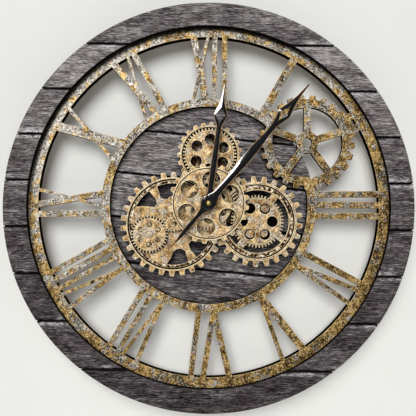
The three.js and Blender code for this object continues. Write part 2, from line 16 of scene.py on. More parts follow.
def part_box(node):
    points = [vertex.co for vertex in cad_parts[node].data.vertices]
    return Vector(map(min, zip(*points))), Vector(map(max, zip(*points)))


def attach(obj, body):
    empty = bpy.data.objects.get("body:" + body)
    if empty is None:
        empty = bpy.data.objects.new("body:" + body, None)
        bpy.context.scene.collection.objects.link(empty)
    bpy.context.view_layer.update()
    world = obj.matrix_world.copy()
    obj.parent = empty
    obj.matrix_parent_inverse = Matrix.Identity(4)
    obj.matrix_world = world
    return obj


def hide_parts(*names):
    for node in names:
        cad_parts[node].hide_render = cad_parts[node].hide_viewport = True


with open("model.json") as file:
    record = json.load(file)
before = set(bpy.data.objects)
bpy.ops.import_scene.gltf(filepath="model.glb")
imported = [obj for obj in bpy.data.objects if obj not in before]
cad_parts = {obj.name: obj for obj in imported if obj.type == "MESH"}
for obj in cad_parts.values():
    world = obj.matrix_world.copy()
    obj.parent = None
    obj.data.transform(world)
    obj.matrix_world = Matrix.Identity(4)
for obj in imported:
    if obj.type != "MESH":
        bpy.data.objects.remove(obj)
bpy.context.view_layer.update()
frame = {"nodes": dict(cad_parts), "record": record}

MM = 0.001
SLOT_OF = {part["node"]: part["material_slot"] for part in frame["record"]["subparts"]}


# ---------------------------------------------------------------- places taken from the frame
def row(x, y, w):
    """A point of the dial as a point of the row frame, in metres."""
    return Vector((x, -w, y)) * MM


def level(node):
    """How far a CAD node's back and front stand from the wall."""
    low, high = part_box(node)
    return -high.y / MM, -low.y / MM


def centre(node):
    low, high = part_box(node)
    return Vector(((low.x + high.x) / 2, (low.z + high.z) / 2)) / MM


def radius(node):
    low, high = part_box(node)
    return (high.x - low.x) / 2 / MM


def face_loops(node, at=None):
    """The outlines of a CAD node's flat face at distance `at` from the wall, its front if None."""
    at = level(node)[1] if at is None else at
    mesh = frame["nodes"][node].data
    key = [(round(v.co.x / MM, 3), round(v.co.z / MM, 3)) for v in mesh.vertices]
    depth = [-v.co.y / MM for v in mesh.vertices]
    follows = {}
    for face in mesh.polygons:
        if face.normal.y > -0.99 or abs(depth[face.vertices[0]] - at) > 0.05:
            continue
        ring = [key[i] for i in face.vertices]
        for a, b in zip(ring, ring[1:] + ring[:1]):
            if a in follows.get(b, ()):
                follows[b].discard(a)
            else:
                follows.setdefault(a, set()).add(b)
    loops = []
    while any(follows.values()):
        start = next(a for a in follows if follows[a])
        loop = [start]
        here = follows[start].pop()
        while here != start:
            loop.append(here)
            here = follows[here].pop()
        loops.append([Vector(p) for p in loop])
    return sorted(loops, key=lambda loop: -abs(area(loop)))


# ---------------------------------------------------------------- outlines
def polar(r, angle, middle=(0, 0)):
    a = math.radians(angle)
    return Vector((middle[0] + r * math.sin(a), middle[1] + r * math.cos(a)))


def circle(r, middle=(0, 0), count=None):
    count = count or max(16, int(r * 1.6))
    return [polar(r, 360 * i / count, middle) for i in range(count)]


def arc(r, first, last, count, middle=(0, 0)):
    return [polar(r, first + (last - first) * i / count, middle) for i in range(count + 1)]


def ring_of(r, count, distance, first, middle):
    """Round holes spaced evenly around a wheel."""
    return [circle(r, polar(distance, first + 360 * i / count, middle), 28) for i in range(count)]


def teeth(count, tip, root, phase, tip_share, root_share, middle, corner=0.6):
    """Square-cut teeth with rounded corners. The shares are parts of the pitch."""
    pitch = 360 / count
    points = []
    for i in range(count):
        at = phase + i * pitch
        half_tip = tip_share * pitch / 2
        half_root = root_share * pitch / 2
        turn = math.degrees(corner / tip)
        flank = half_tip + (half_root - half_tip) * corner / (tip - root)
        points += [
            polar(root, at - half_root, middle),
            polar(tip - corner, at - flank, middle),
            polar(tip - corner * 0.3, at - half_tip + turn * 0.3, middle),
            polar(tip, at - half_tip + turn, middle),
            polar(tip, at + half_tip - turn, middle),
            polar(tip - corner * 0.3, at + half_tip - turn * 0.3, middle),
            polar(tip - corner, at + flank, middle),
            polar(root, at + half_root, middle),
        ]
    return points


def toothed_part(count, tip, root, phase, first, last):
    """A disc with fine teeth between two clock angles only."""
    whole = teeth(count, tip, root, phase, 0.3, 0.56, (0, 0), 0.3)
    angle = [math.degrees(math.atan2(p.x, p.y)) % 360 for p in whole]
    return [p if first < a < last else p * (root / p.length) for p, a in zip(whole, angle)]


def spoke_window(inner, outer, first, last, spoke, middle):
    """The gap between two spokes with parallel sides."""
    def lean(r):
        return math.degrees(math.asin(spoke / 2 / r))

    far = arc(outer, first + lean(outer), last - lean(outer), 20, middle)
    near = arc(inner, last - lean(inner), first + lean(inner), 14, middle)
    return far + near


def rounded_box(x, y, r, steps=5):
    """A rectangle with round corners, x and y being its (low, high) pairs."""
    corners = [(x[1] - r, y[1] - r, 0), (x[1] - r, y[0] + r, 90)]
    corners += [(x[0] + r, y[0] + r, 180), (x[0] + r, y[1] - r, 270)]
    return [p for cx, cy, a in corners for p in arc(r, a, a + 90, steps, (cx, cy))]


def area(loop):
    following = loop[1:] + loop[:1]
    return sum(a[0] * b[1] - b[0] * a[1] for a, b in zip(loop, following)) / 2


def oriented(loops):
    """The outer outline runs anticlockwise and the holes clockwise."""
    found = []
    for i, loop in enumerate(loops):
        wrong = area(loop) < 0 if i == 0 else area(loop) > 0
        found.append([Vector(p) for p in (reversed(loop) if wrong else loop)])
    return found


def inset(loop, by):
    """The outline moved into the material by a distance, with mitred corners."""
    if not by:
        return loop
    moved = []
    for i, here in enumerate(loop):
        before = (here - loop[i - 1]).normalized()
        after = (loop[(i + 1) % len(loop)] - here).normalized()
        left, right = Vector((-before.y, before.x)), Vector((-after.y, after.x))
        moved.append(here + (left + right) * by / max(1 + left.dot(right), 0.35))
    return moved


def inside(points, loops):
    """Which of an array of points lie inside the outlines, holes left out."""
    found = np.zeros(len(points), bool)
    x, y = points[:, 0], points[:, 1]
    for loop in loops:
        ends = np.array(loop)
        for (ax, ay), (bx, by) in zip(ends, np.roll(ends, -1, axis=0)):
            if ay == by:
                continue
            crosses = (ay > y) != (by > y)
            found ^= crosses & (x < (bx - ax) * (y - ay) / (by - ay) + ax)
    return found


def clearance(points, loops):
    """How far each point is from the nearest outline."""
    least = np.full(len(points), 1e9)
    for loop in loops:
        ends = np.array(loop)
        for a, b in zip(ends, np.roll(ends, -1, axis=0)):
            along = b - a
            share = np.clip((points - a) @ along / max(along @ along, 1e-9), 0, 1)
            gap = points - a - share[:, None] * along
            least = np.minimum(least, np.hypot(gap[:, 0], gap[:, 1]))
    return least


# ---------------------------------------------------------------- solids
def edge_profile(back, front, bevel=0.5, back_bevel=0.0):
    """(distance from the wall, inset) steps of a plate with its front edge rounded."""
    low = [(back, back_bevel), (back + back_bevel, 0)] if back_bevel else [(back, 0)]
    return low + [(front - bevel, 0), (front - 0.3 * bevel, 0.3 * bevel), (front, bevel)]


class Shape:
    """Closed solids gathered into one mesh."""

    def __init__(self):
        self.points, self.faces, self.tones = [], [], []

    def face(self, corners, tone):
        self.faces.append(corners)
        self.tones.append(tone)

    def stack(self, loops, profile, tone=0.0, relief=None, spacing=None):
        """Outlines stood up through the steps of a profile, from back to front.

        `relief` lifts the front face at points set `spacing` apart."""
        loops = oriented(loops)
        rings = []
        for w, by in profile:
            moved = [inset(loop, by) for loop in loops]
            first = len(self.points)
            self.points += [(p[0], p[1], w) for loop in moved for p in loop]
            rings.append((first, moved))
        for (low, moved), (high, _) in zip(rings, rings[1:]):
            start = 0
            for loop in moved:
                count = len(loop)
                for i in range(count):
                    j = (i + 1) % count
                    a, b = start + i, start + j
                    self.face([low + a, low + b, high + b, high + a], tone)
                start += count
        self.cap(rings[0], profile[0][0], tone, True)
        self.cap(rings[-1], profile[-1][0], tone, False, relief, spacing)
        return self

    def cap(self, ring, w, tone, flipped, relief=None, spacing=None):
        first, loops = ring
        points = [p for loop in loops for p in loop]
        edges, start = [], 0
        for loop in loops:
            edges += [(start + i, start + (i + 1) % len(loop)) for i in range(len(loop))]
            start += len(loop)
        if spacing:
            points = points + self.grid(loops, spacing)
        found = geometry.delaunay_2d_cdt(points, edges, [], 0, 1e-6)
        place, origins = found[0], found[3]
        middles = np.array([sum((place[i] for i in face), Vector((0, 0))) / 3 for face in found[2]])
        index = []
        for p, known in zip(place, origins):
            old = [k for k in known if k < start]
            if old:
                index.append(first + old[0])
            else:
                index.append(len(self.points))
                lift = relief(p[0], p[1]) if relief else 0
                self.points.append((p[0], p[1], w + lift))
        for face, kept in zip(found[2], inside(middles, loops)):
            if not kept:
                continue
            corners = [index[i] for i in face]
            outline = [place[i] for i in face]
            if (area(outline) < 0) != flipped:
                corners.reverse()
            self.face(corners, tone)

    @staticmethod
    def grid(loops, spacing):
        corners = np.array(loops[0])
        low, high = corners.min(0), corners.max(0)
        x = np.arange(low[0], high[0], spacing[0])
        y = np.arange(low[1], high[1], spacing[1])
        across, up = np.meshgrid(x, y)
        across[1::2] += spacing[0] / 2
        points = np.stack([across.ravel(), up.ravel()], 1)
        points = points[inside(points, loops)]
        points = points[clearance(points, loops) > min(spacing) * 0.5]
        return [Vector(p) for p in points.tolist()]

    def plate(self, loops, back, front, bevel=0.5, back_bevel=0.0, tone=0.0):
        """A flat piece with holes, its front edge rounded."""
        return self.stack(loops, edge_profile(back, front, bevel, back_bevel), tone)

    def grained(self, loops, back, front, seed):
        """A board, the grain of its front raised along x."""
        def relief(x, y):
            ridge = noise.fractal(Vector((x / 45, y / 2.6, seed)), 0.6, 2.1, 4)
            wave = noise.noise(Vector((x / 60, y / 14, seed + 9)))
            return 0.22 * ridge + 0.15 * wave - 0.1

        self.stack(loops, edge_profile(back, front, BOARD_BEVEL), 0.0, relief, GRAIN_SPACING)

    def lathe(self, profile, middle, tone=0.0, count=32):
        """A turned solid: (radius, distance from the wall) steps, back to front, radius 0 at its ends."""
        rings = []
        for r, w in profile:
            if r == 0:
                rings.append([len(self.points)])
                self.points.append((middle[0], middle[1], w))
            else:
                rings.append(list(range(len(self.points), len(self.points) + count)))
                self.points += [(*polar(r, -360 * i / count, middle), w) for i in range(count)]
        for low, high in zip(rings, rings[1:]):
            for i in range(count):
                j = (i + 1) % count
                quad = [low[i % len(low)], low[j % len(low)], high[j % len(high)], high[i % len(high)]]
                corners = [c for n, c in enumerate(quad) if c not in quad[:n]]
                if len(corners) > 2:
                    self.face(corners, tone)
        return self

    @staticmethod
    def merge(mesh):
        """Joins corners that lie on one another, which drops the faces between them."""
        parts = bmesh.new()
        parts.from_mesh(mesh)
        bmesh.ops.remove_doubles(parts, verts=parts.verts, dist=1e-6)
        bmesh.ops.dissolve_degenerate(parts, edges=parts.edges, dist=1e-7)
        parts.to_mesh(mesh)
        parts.free()

    def make(self, name, body, slot, replaces=(), paint=None, smooth=38, weld=False):
        """A piece of the scene. Its material is the slot's own, unless `paint` names another."""
        mesh = bpy.data.meshes.new(name)
        mesh.from_pydata([row(*p) for p in self.points], [], self.faces)
        tones = mesh.attributes.new("tone", "FLOAT", "FACE")
        tones.data.foreach_set("value", self.tones)
        if weld:
            self.merge(mesh)
        mesh.shade_smooth()
        mesh.set_sharp_from_angle(angle=math.radians(smooth))
        piece = bpy.data.objects.new(name, mesh)
        bpy.context.scene.collection.objects.link(piece)
        mesh.materials.append(MATERIALS[paint or slot])
        piece.modifiers.new("edge_shading", "WEIGHTED_NORMAL").keep_sharp = True
        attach(piece, body)
        if replaces:
            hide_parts(*replaces)
        return piece


# ---------------------------------------------------------------- materials
def rgb(code):
    """A colour from its sRGB hex code."""
    parts = [int(code[i : i + 2], 16) / 255 for i in (0, 2, 4)]
    return [c / 12.92 if c <= 0.04045 else ((c + 0.055) / 1.055) ** 2.4 for c in parts] + [1.0]


class Paint:
    """A node material. Each method adds a node and returns its output."""

    def __init__(self, name):
        self.material = bpy.data.materials.new(name)
        self.material.use_nodes = True
        self.tree = self.material.node_tree
        self.shader = self.tree.nodes["Principled BSDF"]
        self.place = self.node("TexCoord", "Object")

    def node(self, kind, output, inputs=(), **settings):
        made = self.tree.nodes.new("ShaderNode" + kind)
        for key, value in settings.items():
            setattr(made, key, value)
        for key, value in dict(inputs).items():
            self.join(value, made.inputs[key])
        return made.outputs[output]

    def join(self, value, socket):
        if isinstance(value, bpy.types.NodeSocket):
            self.tree.links.new(value, socket)
        else:
            socket.default_value = value

    def math(self, operation, a, b=0.0):
        return self.node("Math", 0, {0: a, 1: b}, operation=operation)

    def plus(self, a, b):
        return self.math("ADD", a, b)

    def times(self, a, b):
        return self.math("MULTIPLY", a, b)

    def around(self, noise, amount):
        """A noise as a change up and down, by its amount."""
        return self.times(self.math("SUBTRACT", noise, 0.5), amount)

    def noise(self, size, detail=4.0, rough=0.55, distort=0.0, shift=(0, 0, 0)):
        """Noise with features of a size in mm, or of a size along each of x, y and z."""
        sizes = size if isinstance(size, tuple) else (size,) * 3
        scale = [1 / (s * MM) for s in sizes]
        vector = self.node("Mapping", 0, {"Vector": self.place, "Scale": scale, "Location": shift})
        inputs = {"Vector": vector, "Scale": 1.0, "Detail": detail}
        inputs.update({"Roughness": rough, "Distortion": distort})
        return self.node("TexNoise", 0, inputs)

    def ramp(self, value, *stops):
        """Maps a value to colours (hex codes) or to numbers."""
        made = self.tree.nodes.new("ShaderNodeValToRGB")
        elements = made.color_ramp.elements
        while len(elements) < len(stops):
            elements.new(0.5)
        for element, (at, value_there) in zip(elements, stops):
            element.position = at
            grey = not isinstance(value_there, str)
            element.color = [value_there] * 3 + [1] if grey else rgb(value_there)
        self.join(value, made.inputs[0])
        return made.outputs[0]

    def mix(self, factor, a, b, blend="MIX"):
        made = self.tree.nodes.new("ShaderNodeMix")
        made.data_type = "RGBA"
        made.blend_type = blend
        self.join(factor, made.inputs[0])
        self.join(rgb(a) if isinstance(a, str) else a, made.inputs[6])
        self.join(rgb(b) if isinstance(b, str) else b, made.inputs[7])
        return made.outputs[2]

    def over(self, color, layer, value, *stops):
        """Lays a colour over another, as thickly as a value's ramp says."""
        return self.mix(self.ramp(value, *stops), color, layer)

    def axis(self, number):
        """One coordinate of the place, in metres."""
        return self.node("SeparateXYZ", number, {0: self.place})

    def lean(self, up, right):
        """A tone that changes gently upwards and to the right, by so much a metre."""
        return self.plus(self.times(self.axis(2), up), self.times(self.axis(0), right))

    def facing(self):
        """1 on faces that look away from the wall, 0 on their side walls."""
        normal = self.node("NewGeometry", "True Normal")
        return self.times(self.node("SeparateXYZ", 1, {0: normal}), -1.0)

    def fibreboard(self, color, facing):
        """Leaves the faces turned to the wall as dark fibreboard."""
        fibre = self.noise(2.6, detail=7, rough=0.75, shift=(6, 2, 4))
        board = self.ramp(fibre, (0.36, "2b221c"), (0.5, "43372e"), (0.64, "5e5044"))
        away = self.times(facing, -1.0)
        return self.mix(self.ramp(away, (0.5, 0.0), (0.8, 1.0)), color, board)

    def tone(self):
        return self.node("Attribute", "Fac", attribute_name="tone")

    def bump(self, height, depth, strength=1.0):
        inputs = {"Height": height, "Distance": depth * MM, "Strength": strength}
        self.join(self.node("Bump", 0, inputs), self.shader.inputs["Normal"])

    def finish(self, color, roughness, metallic=0.0, **more):
        self.join(color, self.shader.inputs["Base Color"])
        self.join(roughness, self.shader.inputs["Roughness"])
        self.join(metallic, self.shader.inputs["Metallic"])
        for key, value in more.items():
            self.join(value, self.shader.inputs[key.replace("_", " ")])
        return self.material


RING_PITCH = 67.8  # from one seam between two boards to the next
RING_SEAM = 32.5  # height of one seam of the frame ring
RING_TILT = -0.6  # of the boards, in degrees, below 0 where they go down to the right
DISC_PITCH = 66.3
DISC_SEAM = 35.4
DISC_TILT = -5.7
WORN_RING = (-262, 109, 41)  # where an edge is chipped white
WORN_DISC = (46, 122, 22.7)


def planks(name, pitch, seam, tilt, lightness, up, worn, ends=0.0, wheel_shade=0.0):
    """Weathered dark grey boards, each with its own grain and tone, and black sides.

    `worn` is a place, in mm, where an edge is chipped white.
    `up` and `ends` are painted light: they lighten the boards upwards and towards the top and bottom, by so
    much a metre.
    The last argument sets how dark the painted shade is that falls deep between and under the wheels."""
    p = Paint(name)
    # painted light: the boards lighter upwards and towards the top and bottom
    light_lean = p.lean(up, 0.0)
    light_lean = p.plus(light_lean, p.times(p.math("ABSOLUTE", p.axis(2)), ends))
    from_worn = p.node("VectorMath", 1, {0: p.place, 1: row(*worn)}, operation="DISTANCE")
    turn = {"Vector": p.place, "Angle": math.radians(tilt)}
    p.place = p.node("VectorRotate", 0, turn, rotation_type="Y_AXIS")
    height = p.math("DIVIDE", p.math("SUBTRACT", p.axis(2), seam * MM), pitch * MM)
    board = p.math("FLOOR", height)
    within = p.math("FRACT", height)
    own = p.node("TexWhiteNoise", 1, {"W": board}, noise_dimensions="1D")
    shifted = p.node("VectorMath", 0, {0: own, 1: (3.0, 0.0, 3.0)}, operation="MULTIPLY")
    p.place = p.node("VectorMath", 0, {0: p.place, 1: shifted}, operation="ADD")
    streaks = p.noise((24, 20, 1.5), detail=5, rough=0.7)
    fine = p.noise((8, 10, 0.8), detail=4, rough=0.7)
    broad = p.noise((45, 30, 9), detail=7, rough=0.7, distort=0.2)
    dim = p.node("TexWhiteNoise", 0, {"W": p.plus(board, 0.37)}, noise_dimensions="1D")
    value = p.plus(light_lean, lightness)
    for part, amount in ((streaks, 1.5), (fine, 1.7), (broad, 0.9), (dim, 0.2)):
        value = p.plus(value, p.around(part, amount))
    shades = [(0.12, "0e0c0d"), (0.34, "2f2b2c"), (0.52, "544e4f"), (0.72, "807a7a"), (0.95, "c2bcbb")]
    color = p.ramp(value, *shades)
    cloud = p.noise((44, 20, 16), detail=4, rough=0.6, distort=0.4)
    color = p.over(color, "45353b", cloud, (0.5, 0.0), (0.62, 0.22))
    knots = p.noise((24, 20, 7), detail=4, rough=0.6, distort=0.8, shift=(5, 0, 2))
    color = p.over(color, "121011", knots, (0.62, 0.0), (0.7, 0.8))
    cracks = p.noise((46, 15, 1.3), detail=3, rough=0.4, distort=0.2, shift=(4, 0, 9))
    color = p.over(color, "080707", cracks, (0.3, 0.95), (0.35, 0.0))
    beside = p.ramp(within, (0.06, 1.0), (0.13, 0.0), (0.87, 0.0), (0.94, 1.0))
    chips = p.ramp(p.noise((7, 8, 1.8), detail=6, rough=0.75), (0.47, 0.0), (0.53, 0.95))
    places = p.ramp(p.noise((60, 20, 40), detail=2), (0.52, 0.0), (0.58, 0.8))
    near = p.ramp(from_worn, (0.018, 1.0), (0.032, 0.0))
    places = p.math("MAXIMUM", places, near)
    wide = p.times(near, p.ramp(within, (0.08, 1.0), (0.16, 0.0)))
    beside = p.math("MAXIMUM", beside, wide)
    scuffs = p.times(p.times(beside, chips), places)
    color = p.mix(scuffs, color, "d2cfce")
    edge = p.plus(within, p.around(fine, 0.05))
    gap = p.ramp(edge, (0.02, 0.97), (0.045, 0.0), (0.955, 0.0), (0.98, 0.97))
    color = p.mix(gap, color, "070607")
    facing = p.facing()
    color = p.mix(p.ramp(facing, (0.3, 0.0), (0.85, 1.0)), "2a2624", color)
    color = p.over(color, "0d0b0b", p.tone(), (0.4, 0.0), (0.6, 1.0))
    color = p.fibreboard(color, facing)
    # painted shade: ambient occlusion darkens the boards between and under the wheels
    if wheel_shade:
        open_sky = p.node("AmbientOcclusion", 1, {"Distance": 26 * MM}, samples=8)
        color = p.over(color, "060505", open_sky, (0.3, wheel_shade), (0.8, 0.0))
    p.bump(p.plus(streaks, fine), 0.5, 0.8)
    rough = p.ramp(fine, (0.3, 0.85), (0.7, 0.55))
    return p.finish(color, rough, Specular_IOR_Level=0.0)


def foil():
    """Distressed gold foil: gold and silvery patches, dark specks, over a board with black sides, and
    painted light and shade.
    """
    p = Paint("distressed_gold_foil")
    # painted light: the foil lighter upwards and to the left; the same lean brings more silver, fewer dark
    # specks and more glints there, partly as painted sheen
    light_lean = p.lean(0.23, -0.19)
    tint = p.noise(4.2, detail=5, rough=0.68)
    gold = p.ramp(tint, (0.37, "5a4428"), (0.44, "ab8a50"), (0.52, "deb66e"), (0.64, "f8dea6"))
    grey = p.noise(3.8, detail=5, rough=0.66, shift=(4, 4, 1))
    silver = p.ramp(grey, (0.35, "6c655d"), (0.43, "a29a8f"), (0.52, "cbc4b9"), (0.63, "f4f0e6"))
    zone = p.plus(p.noise(17, detail=5, rough=0.62, distort=0.7), p.times(light_lean, 0.9))
    color = p.mix(p.ramp(zone, (0.485, 0.0), (0.545, 1.0)), gold, silver)
    rust = p.noise(13, detail=4, rough=0.6, distort=0.5, shift=(2, 6, 5))
    color = p.over(color, "553f24", rust, (0.54, 0.0), (0.63, 0.55))
    crowd = p.times(p.noise(19, detail=3, rough=0.6, shift=(3, 1, 7)), 0.4)
    speck = p.plus(p.noise(1.8, detail=3, rough=0.62, shift=(8, 2, 1)), crowd)
    speck = p.math("SUBTRACT", speck, p.times(light_lean, 0.35))
    color = p.over(color, "1a1411", speck, (0.695, 0.0), (0.755, 0.9))
    # painted highlight: bright glints, more of them upwards and to the left
    glints = p.plus(p.noise(3.2, detail=3, rough=0.6, shift=(1, 9, 4)), p.times(light_lean, 0.35))
    color = p.over(color, "f7ead0", glints, (0.62, 0.0), (0.7, 0.8))
    # painted light and shade: the foil brighter towards the top and left, dimmer towards the bottom and
    # right
    shade = p.ramp(p.plus(light_lean, 0.5), (0.44, 0.74), (0.5, 0.8), (0.58, 0.92))
    color = p.mix(1.0, color, shade, "MULTIPLY")
    # painted shadow: the frame ring's shadow, black along the outer edge of the plate at the upper left
    across = p.node("VectorMath", 1, {0: p.place}, operation="LENGTH")
    upper_left = p.ramp(p.math("DIVIDE", p.lean(0.926, -0.379), across), (0.1, 0.0), (0.7, 1.0))
    ring_shadow = p.times(p.ramp(across, (0.2618, 0.0), (0.2648, 0.9)), upper_left)
    color = p.mix(ring_shadow, color, "0d0b0a")
    facing = p.facing()
    # painted highlight: pale gold on the front bevels
    rim = p.ramp(facing, (0.93, 0.45), (0.97, 0.0))
    color = p.mix(rim, color, "dcc08c")
    color = p.mix(p.ramp(facing, (0.25, 0.0), (0.35, 1.0)), "070605", color)
    color = p.fibreboard(color, facing)
    p.bump(p.plus(tint, speck), 0.2, 0.5)
    metal = p.ramp(facing, (0.3, 0.0), (0.4, 0.18))
    rough = p.ramp(tint, (0.3, 0.75), (0.7, 0.42))
    return p.finish(color, rough, metal, Specular_IOR_Level=0.0)


def gear_gold(name, light, mid, dark, corner_shade=0.95):
    """Antiqued metallic paint: bright edges, partly worn paint and partly painted highlight, painted shade
    in the corners and under other wheels, mottled faces.

    The face attribute `tone` goes from 0, the pale paint, through rust at 0.5 to black at 1."""
    p = Paint(name)
    stipple = p.noise(1.9, detail=5, rough=0.7, shift=(2, 5, 3))
    patches = p.noise(8, detail=5, rough=0.6, distort=0.4)
    value = p.plus(p.times(stipple, 0.4), p.times(patches, 0.6))
    color = p.ramp(value, (0.37, "4c3823"), (0.44, dark), (0.51, mid), (0.58, light), (0.68, "fdf1d2"))
    silver = p.noise(12, detail=5, rough=0.6, distort=0.6, shift=(7, 7, 2))
    worn = p.ramp(stipple, (0.36, "4a443e"), (0.47, "a3998a"), (0.56, "dcd3c2"), (0.68, "faf6ea"))
    color = p.over(color, worn, silver, (0.5, 0.0), (0.58, 0.8))
    specks = p.noise(1.7, detail=3, rough=0.6, shift=(5, 1, 8))
    color = p.over(color, "2c2117", specks, (0.585, 0.0), (0.635, 0.85))
    stain = p.noise(11, detail=6, rough=0.7, distort=0.5, shift=(9, 3, 3))
    color = p.over(color, "6e4c2b", stain, (0.53, 0.0), (0.62, 0.6))
    tone = p.tone()
    coarse = p.noise(4.2, detail=4, rough=0.65)
    rust = p.ramp(coarse, (0.4, "0d0a08"), (0.47, "3b2a1a"), (0.54, "9a7a50"), (0.62, "f0e6d2"))
    color = p.over(color, rust, tone, (0.1, 0.0), (0.5, 1.0))
    color = p.over(color, "0a0806", tone, (0.6, 0.0), (0.95, 1.0))
    facing = p.facing()
    # pale bevels: worn paint and a painted highlight along the edges, dark where the tone is black
    bevel = p.ramp(facing, (0.93, 1.0), (0.97, 0.0))
    rim = p.mix(p.ramp(tone, (0.55, 0.0), (0.9, 1.0)), "fbe9c2", "2a2118")
    color = p.mix(bevel, color, rim)
    color = p.mix(p.ramp(facing, (0.2, 0.0), (0.33, 1.0)), "1a130d", color)
    color = p.fibreboard(color, facing)
    # painted shade: ambient occlusion, also from the neighbouring wheels, darkens corners, grooves and what
    # lies under other wheels
    occlusion = p.node("AmbientOcclusion", 1, {"Distance": 5 * MM}, samples=8)
    color = p.over(color, "0f0b07", occlusion, (0.4, corner_shade), (0.85, 0.0))
    p.bump(p.plus(stipple, specks), 0.25, 0.6)
    metal = p.ramp(facing, (0.3, 0.0), (0.4, 0.2))
    rough = p.ramp(stipple, (0.3, 0.7), (0.7, 0.42))
    return p.finish(color, rough, metal, Specular_IOR_Level=0.0)


def lacquer():
    """Gloss black enamel, bronze where the tone is 1 and a painted red-brown reflection where it is near
    0.4.
    """
    p = Paint("black_gloss_enamel")
    haze = p.noise(9, detail=3)
    color = p.ramp(haze, (0.3, "030304"), (0.7, "070709"))
    bronze = p.ramp(p.noise(3, detail=3), (0.35, "7a5c40"), (0.65, "c9a374"))
    # painted reflection: red-brown over the tips of the hands
    color = p.over(color, "35150f", p.tone(), (0.1, 0.0), (0.4, 0.85), (0.5, 0.85))
    color = p.over(color, bronze, p.tone(), (0.5, 0.0), (0.8, 1.0))
    p.bump(p.noise(1.4, detail=2), 0.01, 0.2)
    return p.finish(color, p.ramp(haze, (0.3, 0.12), (0.7, 0.16)))


def metal(name, light, dark, roughness=(0.25, 0.45), brushed=12.0):
    """Turned or drawn metal with fine marks and a little tarnish."""
    p = Paint(name)
    marks = p.noise((brushed, 0.35, 0.35), detail=4, rough=0.6)
    tarnish = p.noise(5, detail=5, rough=0.6)
    color = p.mix(p.ramp(tarnish, (0.4, 0.0), (0.7, 0.7)), light, dark)
    color = p.over(color, dark, marks, (0.4, 0.25), (0.6, 0.0))
    p.bump(marks, 0.02, 0.4)
    rough = p.ramp(marks, (0.3, roughness[0]), (0.7, roughness[1]))
    return p.finish(color, rough, 1.0)


def plastic(name, light, dark, roughness=0.5, grain=0.5, depth=0.03):
    """Moulded plastic or rubber with a fine grain and handling marks."""
    p = Paint(name)
    skin = p.noise(grain, detail=3, rough=0.6)
    marks = p.noise(12, detail=6, rough=0.65)
    color = p.ramp(marks, (0.35, dark), (0.65, light))
    p.bump(skin, depth, 0.8)
    rough = p.ramp(marks, (0.3, min(roughness + 0.1, 1.0)), (0.7, roughness - 0.08))
    return p.finish(color, rough)


def banded(name, base, band, pitch, metallic=0.0, roughness=0.4):
    """Wound wire or a printed wrap: narrow bands across x."""
    p = Paint(name)
    wave = p.math("PINGPONG", p.axis(0), pitch * MM)
    share = p.math("DIVIDE", wave, pitch * MM)
    color = p.mix(p.ramp(share, (0.4, 0.0), (0.6, 1.0)), base, band)
    color = p.over(color, "1a1512", p.noise(4, detail=5), (0.5, 0.0), (0.75, 0.4))
    p.bump(share, 0.05, 0.6)
    return p.finish(color, roughness, metallic)


def plaster():
    """The pale wall. It lets the light behind it through, and isn't there when seen from behind."""
    p = Paint("pale_plaster")
    cloud = p.noise(260, detail=3)
    color = p.ramp(cloud, (0.3, "dededa"), (0.7, "e3e3df"))
    p.finish(color, 0.9, Specular_IOR_Level=0.1)
    clear = p.node("BsdfTransparent", 0)
    behind = p.math("MAXIMUM", p.node("NewGeometry", "Backfacing"), p.node("LightPath", "Is Shadow Ray"))
    shown = p.node("MixShader", 0, {0: behind, 1: p.shader.outputs[0], 2: clear})
    p.join(shown, p.tree.nodes["Material Output"].inputs["Surface"])
    return p.material


MATERIALS = {
    "ring_planks": planks("ring_planks", RING_PITCH, RING_SEAM, RING_TILT, 0.395, 0.55, WORN_RING, 0.5),
    "dark_planks": planks("disc_planks", DISC_PITCH, DISC_SEAM, DISC_TILT, 0.53, 0.2, WORN_DISC, wheel_shade=0.9),
    "antique_gold": foil(),
    "gear_gold": gear_gold("antiqued_cream_gold", "ebcf9e", "cdaa76", "93734a"),
    "gear_bronze": gear_gold("antiqued_bronze", "6b5233", "493722", "271c11"),
    "black_lacquer": lacquer(),
    "brass": metal("satin_brass", rgb("e0c27a"), rgb("a5823f")),
    "steel": metal("satin_steel", rgb("9ea0a3"), rgb("6c6e71"), (0.35, 0.55)),
    "black_case": plastic("black_moulding", "242427", "141416"),
    "nylon": plastic("natural_nylon", "e9e4d6", "d2ccbb", 0.42),
    "cell_wrap": banded("cell_wrap", rgb("2e5d4a"), rgb("c9a24a"), 13.0),
    "coil_copper": banded("wound_copper", rgb("b06a3a"), rgb("6d3a1c"), 0.35, 0.8),
    "circuit_green": plastic("solder_mask", "2f6b3c", "245330", 0.35),
    "spacer_rubber": plastic("black_rubber", "2c2c2c", "1c1c1c", 0.85, 0.8, 0.05),
}


# ---------------------------------------------------------------- frame ring, disc and dial plate
STAINED = 0.35  # tones of the face attribute
RUST = 0.5
BLACK = 1.0
SEAM = 0.7  # half the gap between two boards
BOARD_BEVEL = 0.7
BOARD_THICK = 3.0
GRAIN_SPACING = (5.0, 1.5)  # between the points of the raised grain, along and across a board
BUSH_HOLE = 5.8
SHAFT_HOLE = 4.5
LINER_R = (252.3, 274.5)  # black strip behind the rim of the dial plate
LINER_THICK = 3.5


def board_cuts(outer, seam, pitch):
    """Pairs of heights between which the boards lie."""
    first = math.floor((-outer - seam) / pitch)
    last = math.ceil((outer - seam) / pitch)
    return [(seam + k * pitch, seam + (k + 1) * pitch) for k in range(first, last)]


def chord(r, low, high, side, steps):
    """The arc of a circle between two heights, on the left (-1) or right (1) side, from low to high."""
    first = math.asin(max(-1, min(1, low / r)))
    last = math.asin(max(-1, min(1, high / r)))
    angles = [first + (last - first) * i / steps for i in range(steps + 1)]
    return [Vector((side * r * math.cos(a), r * math.sin(a))) for a in angles]


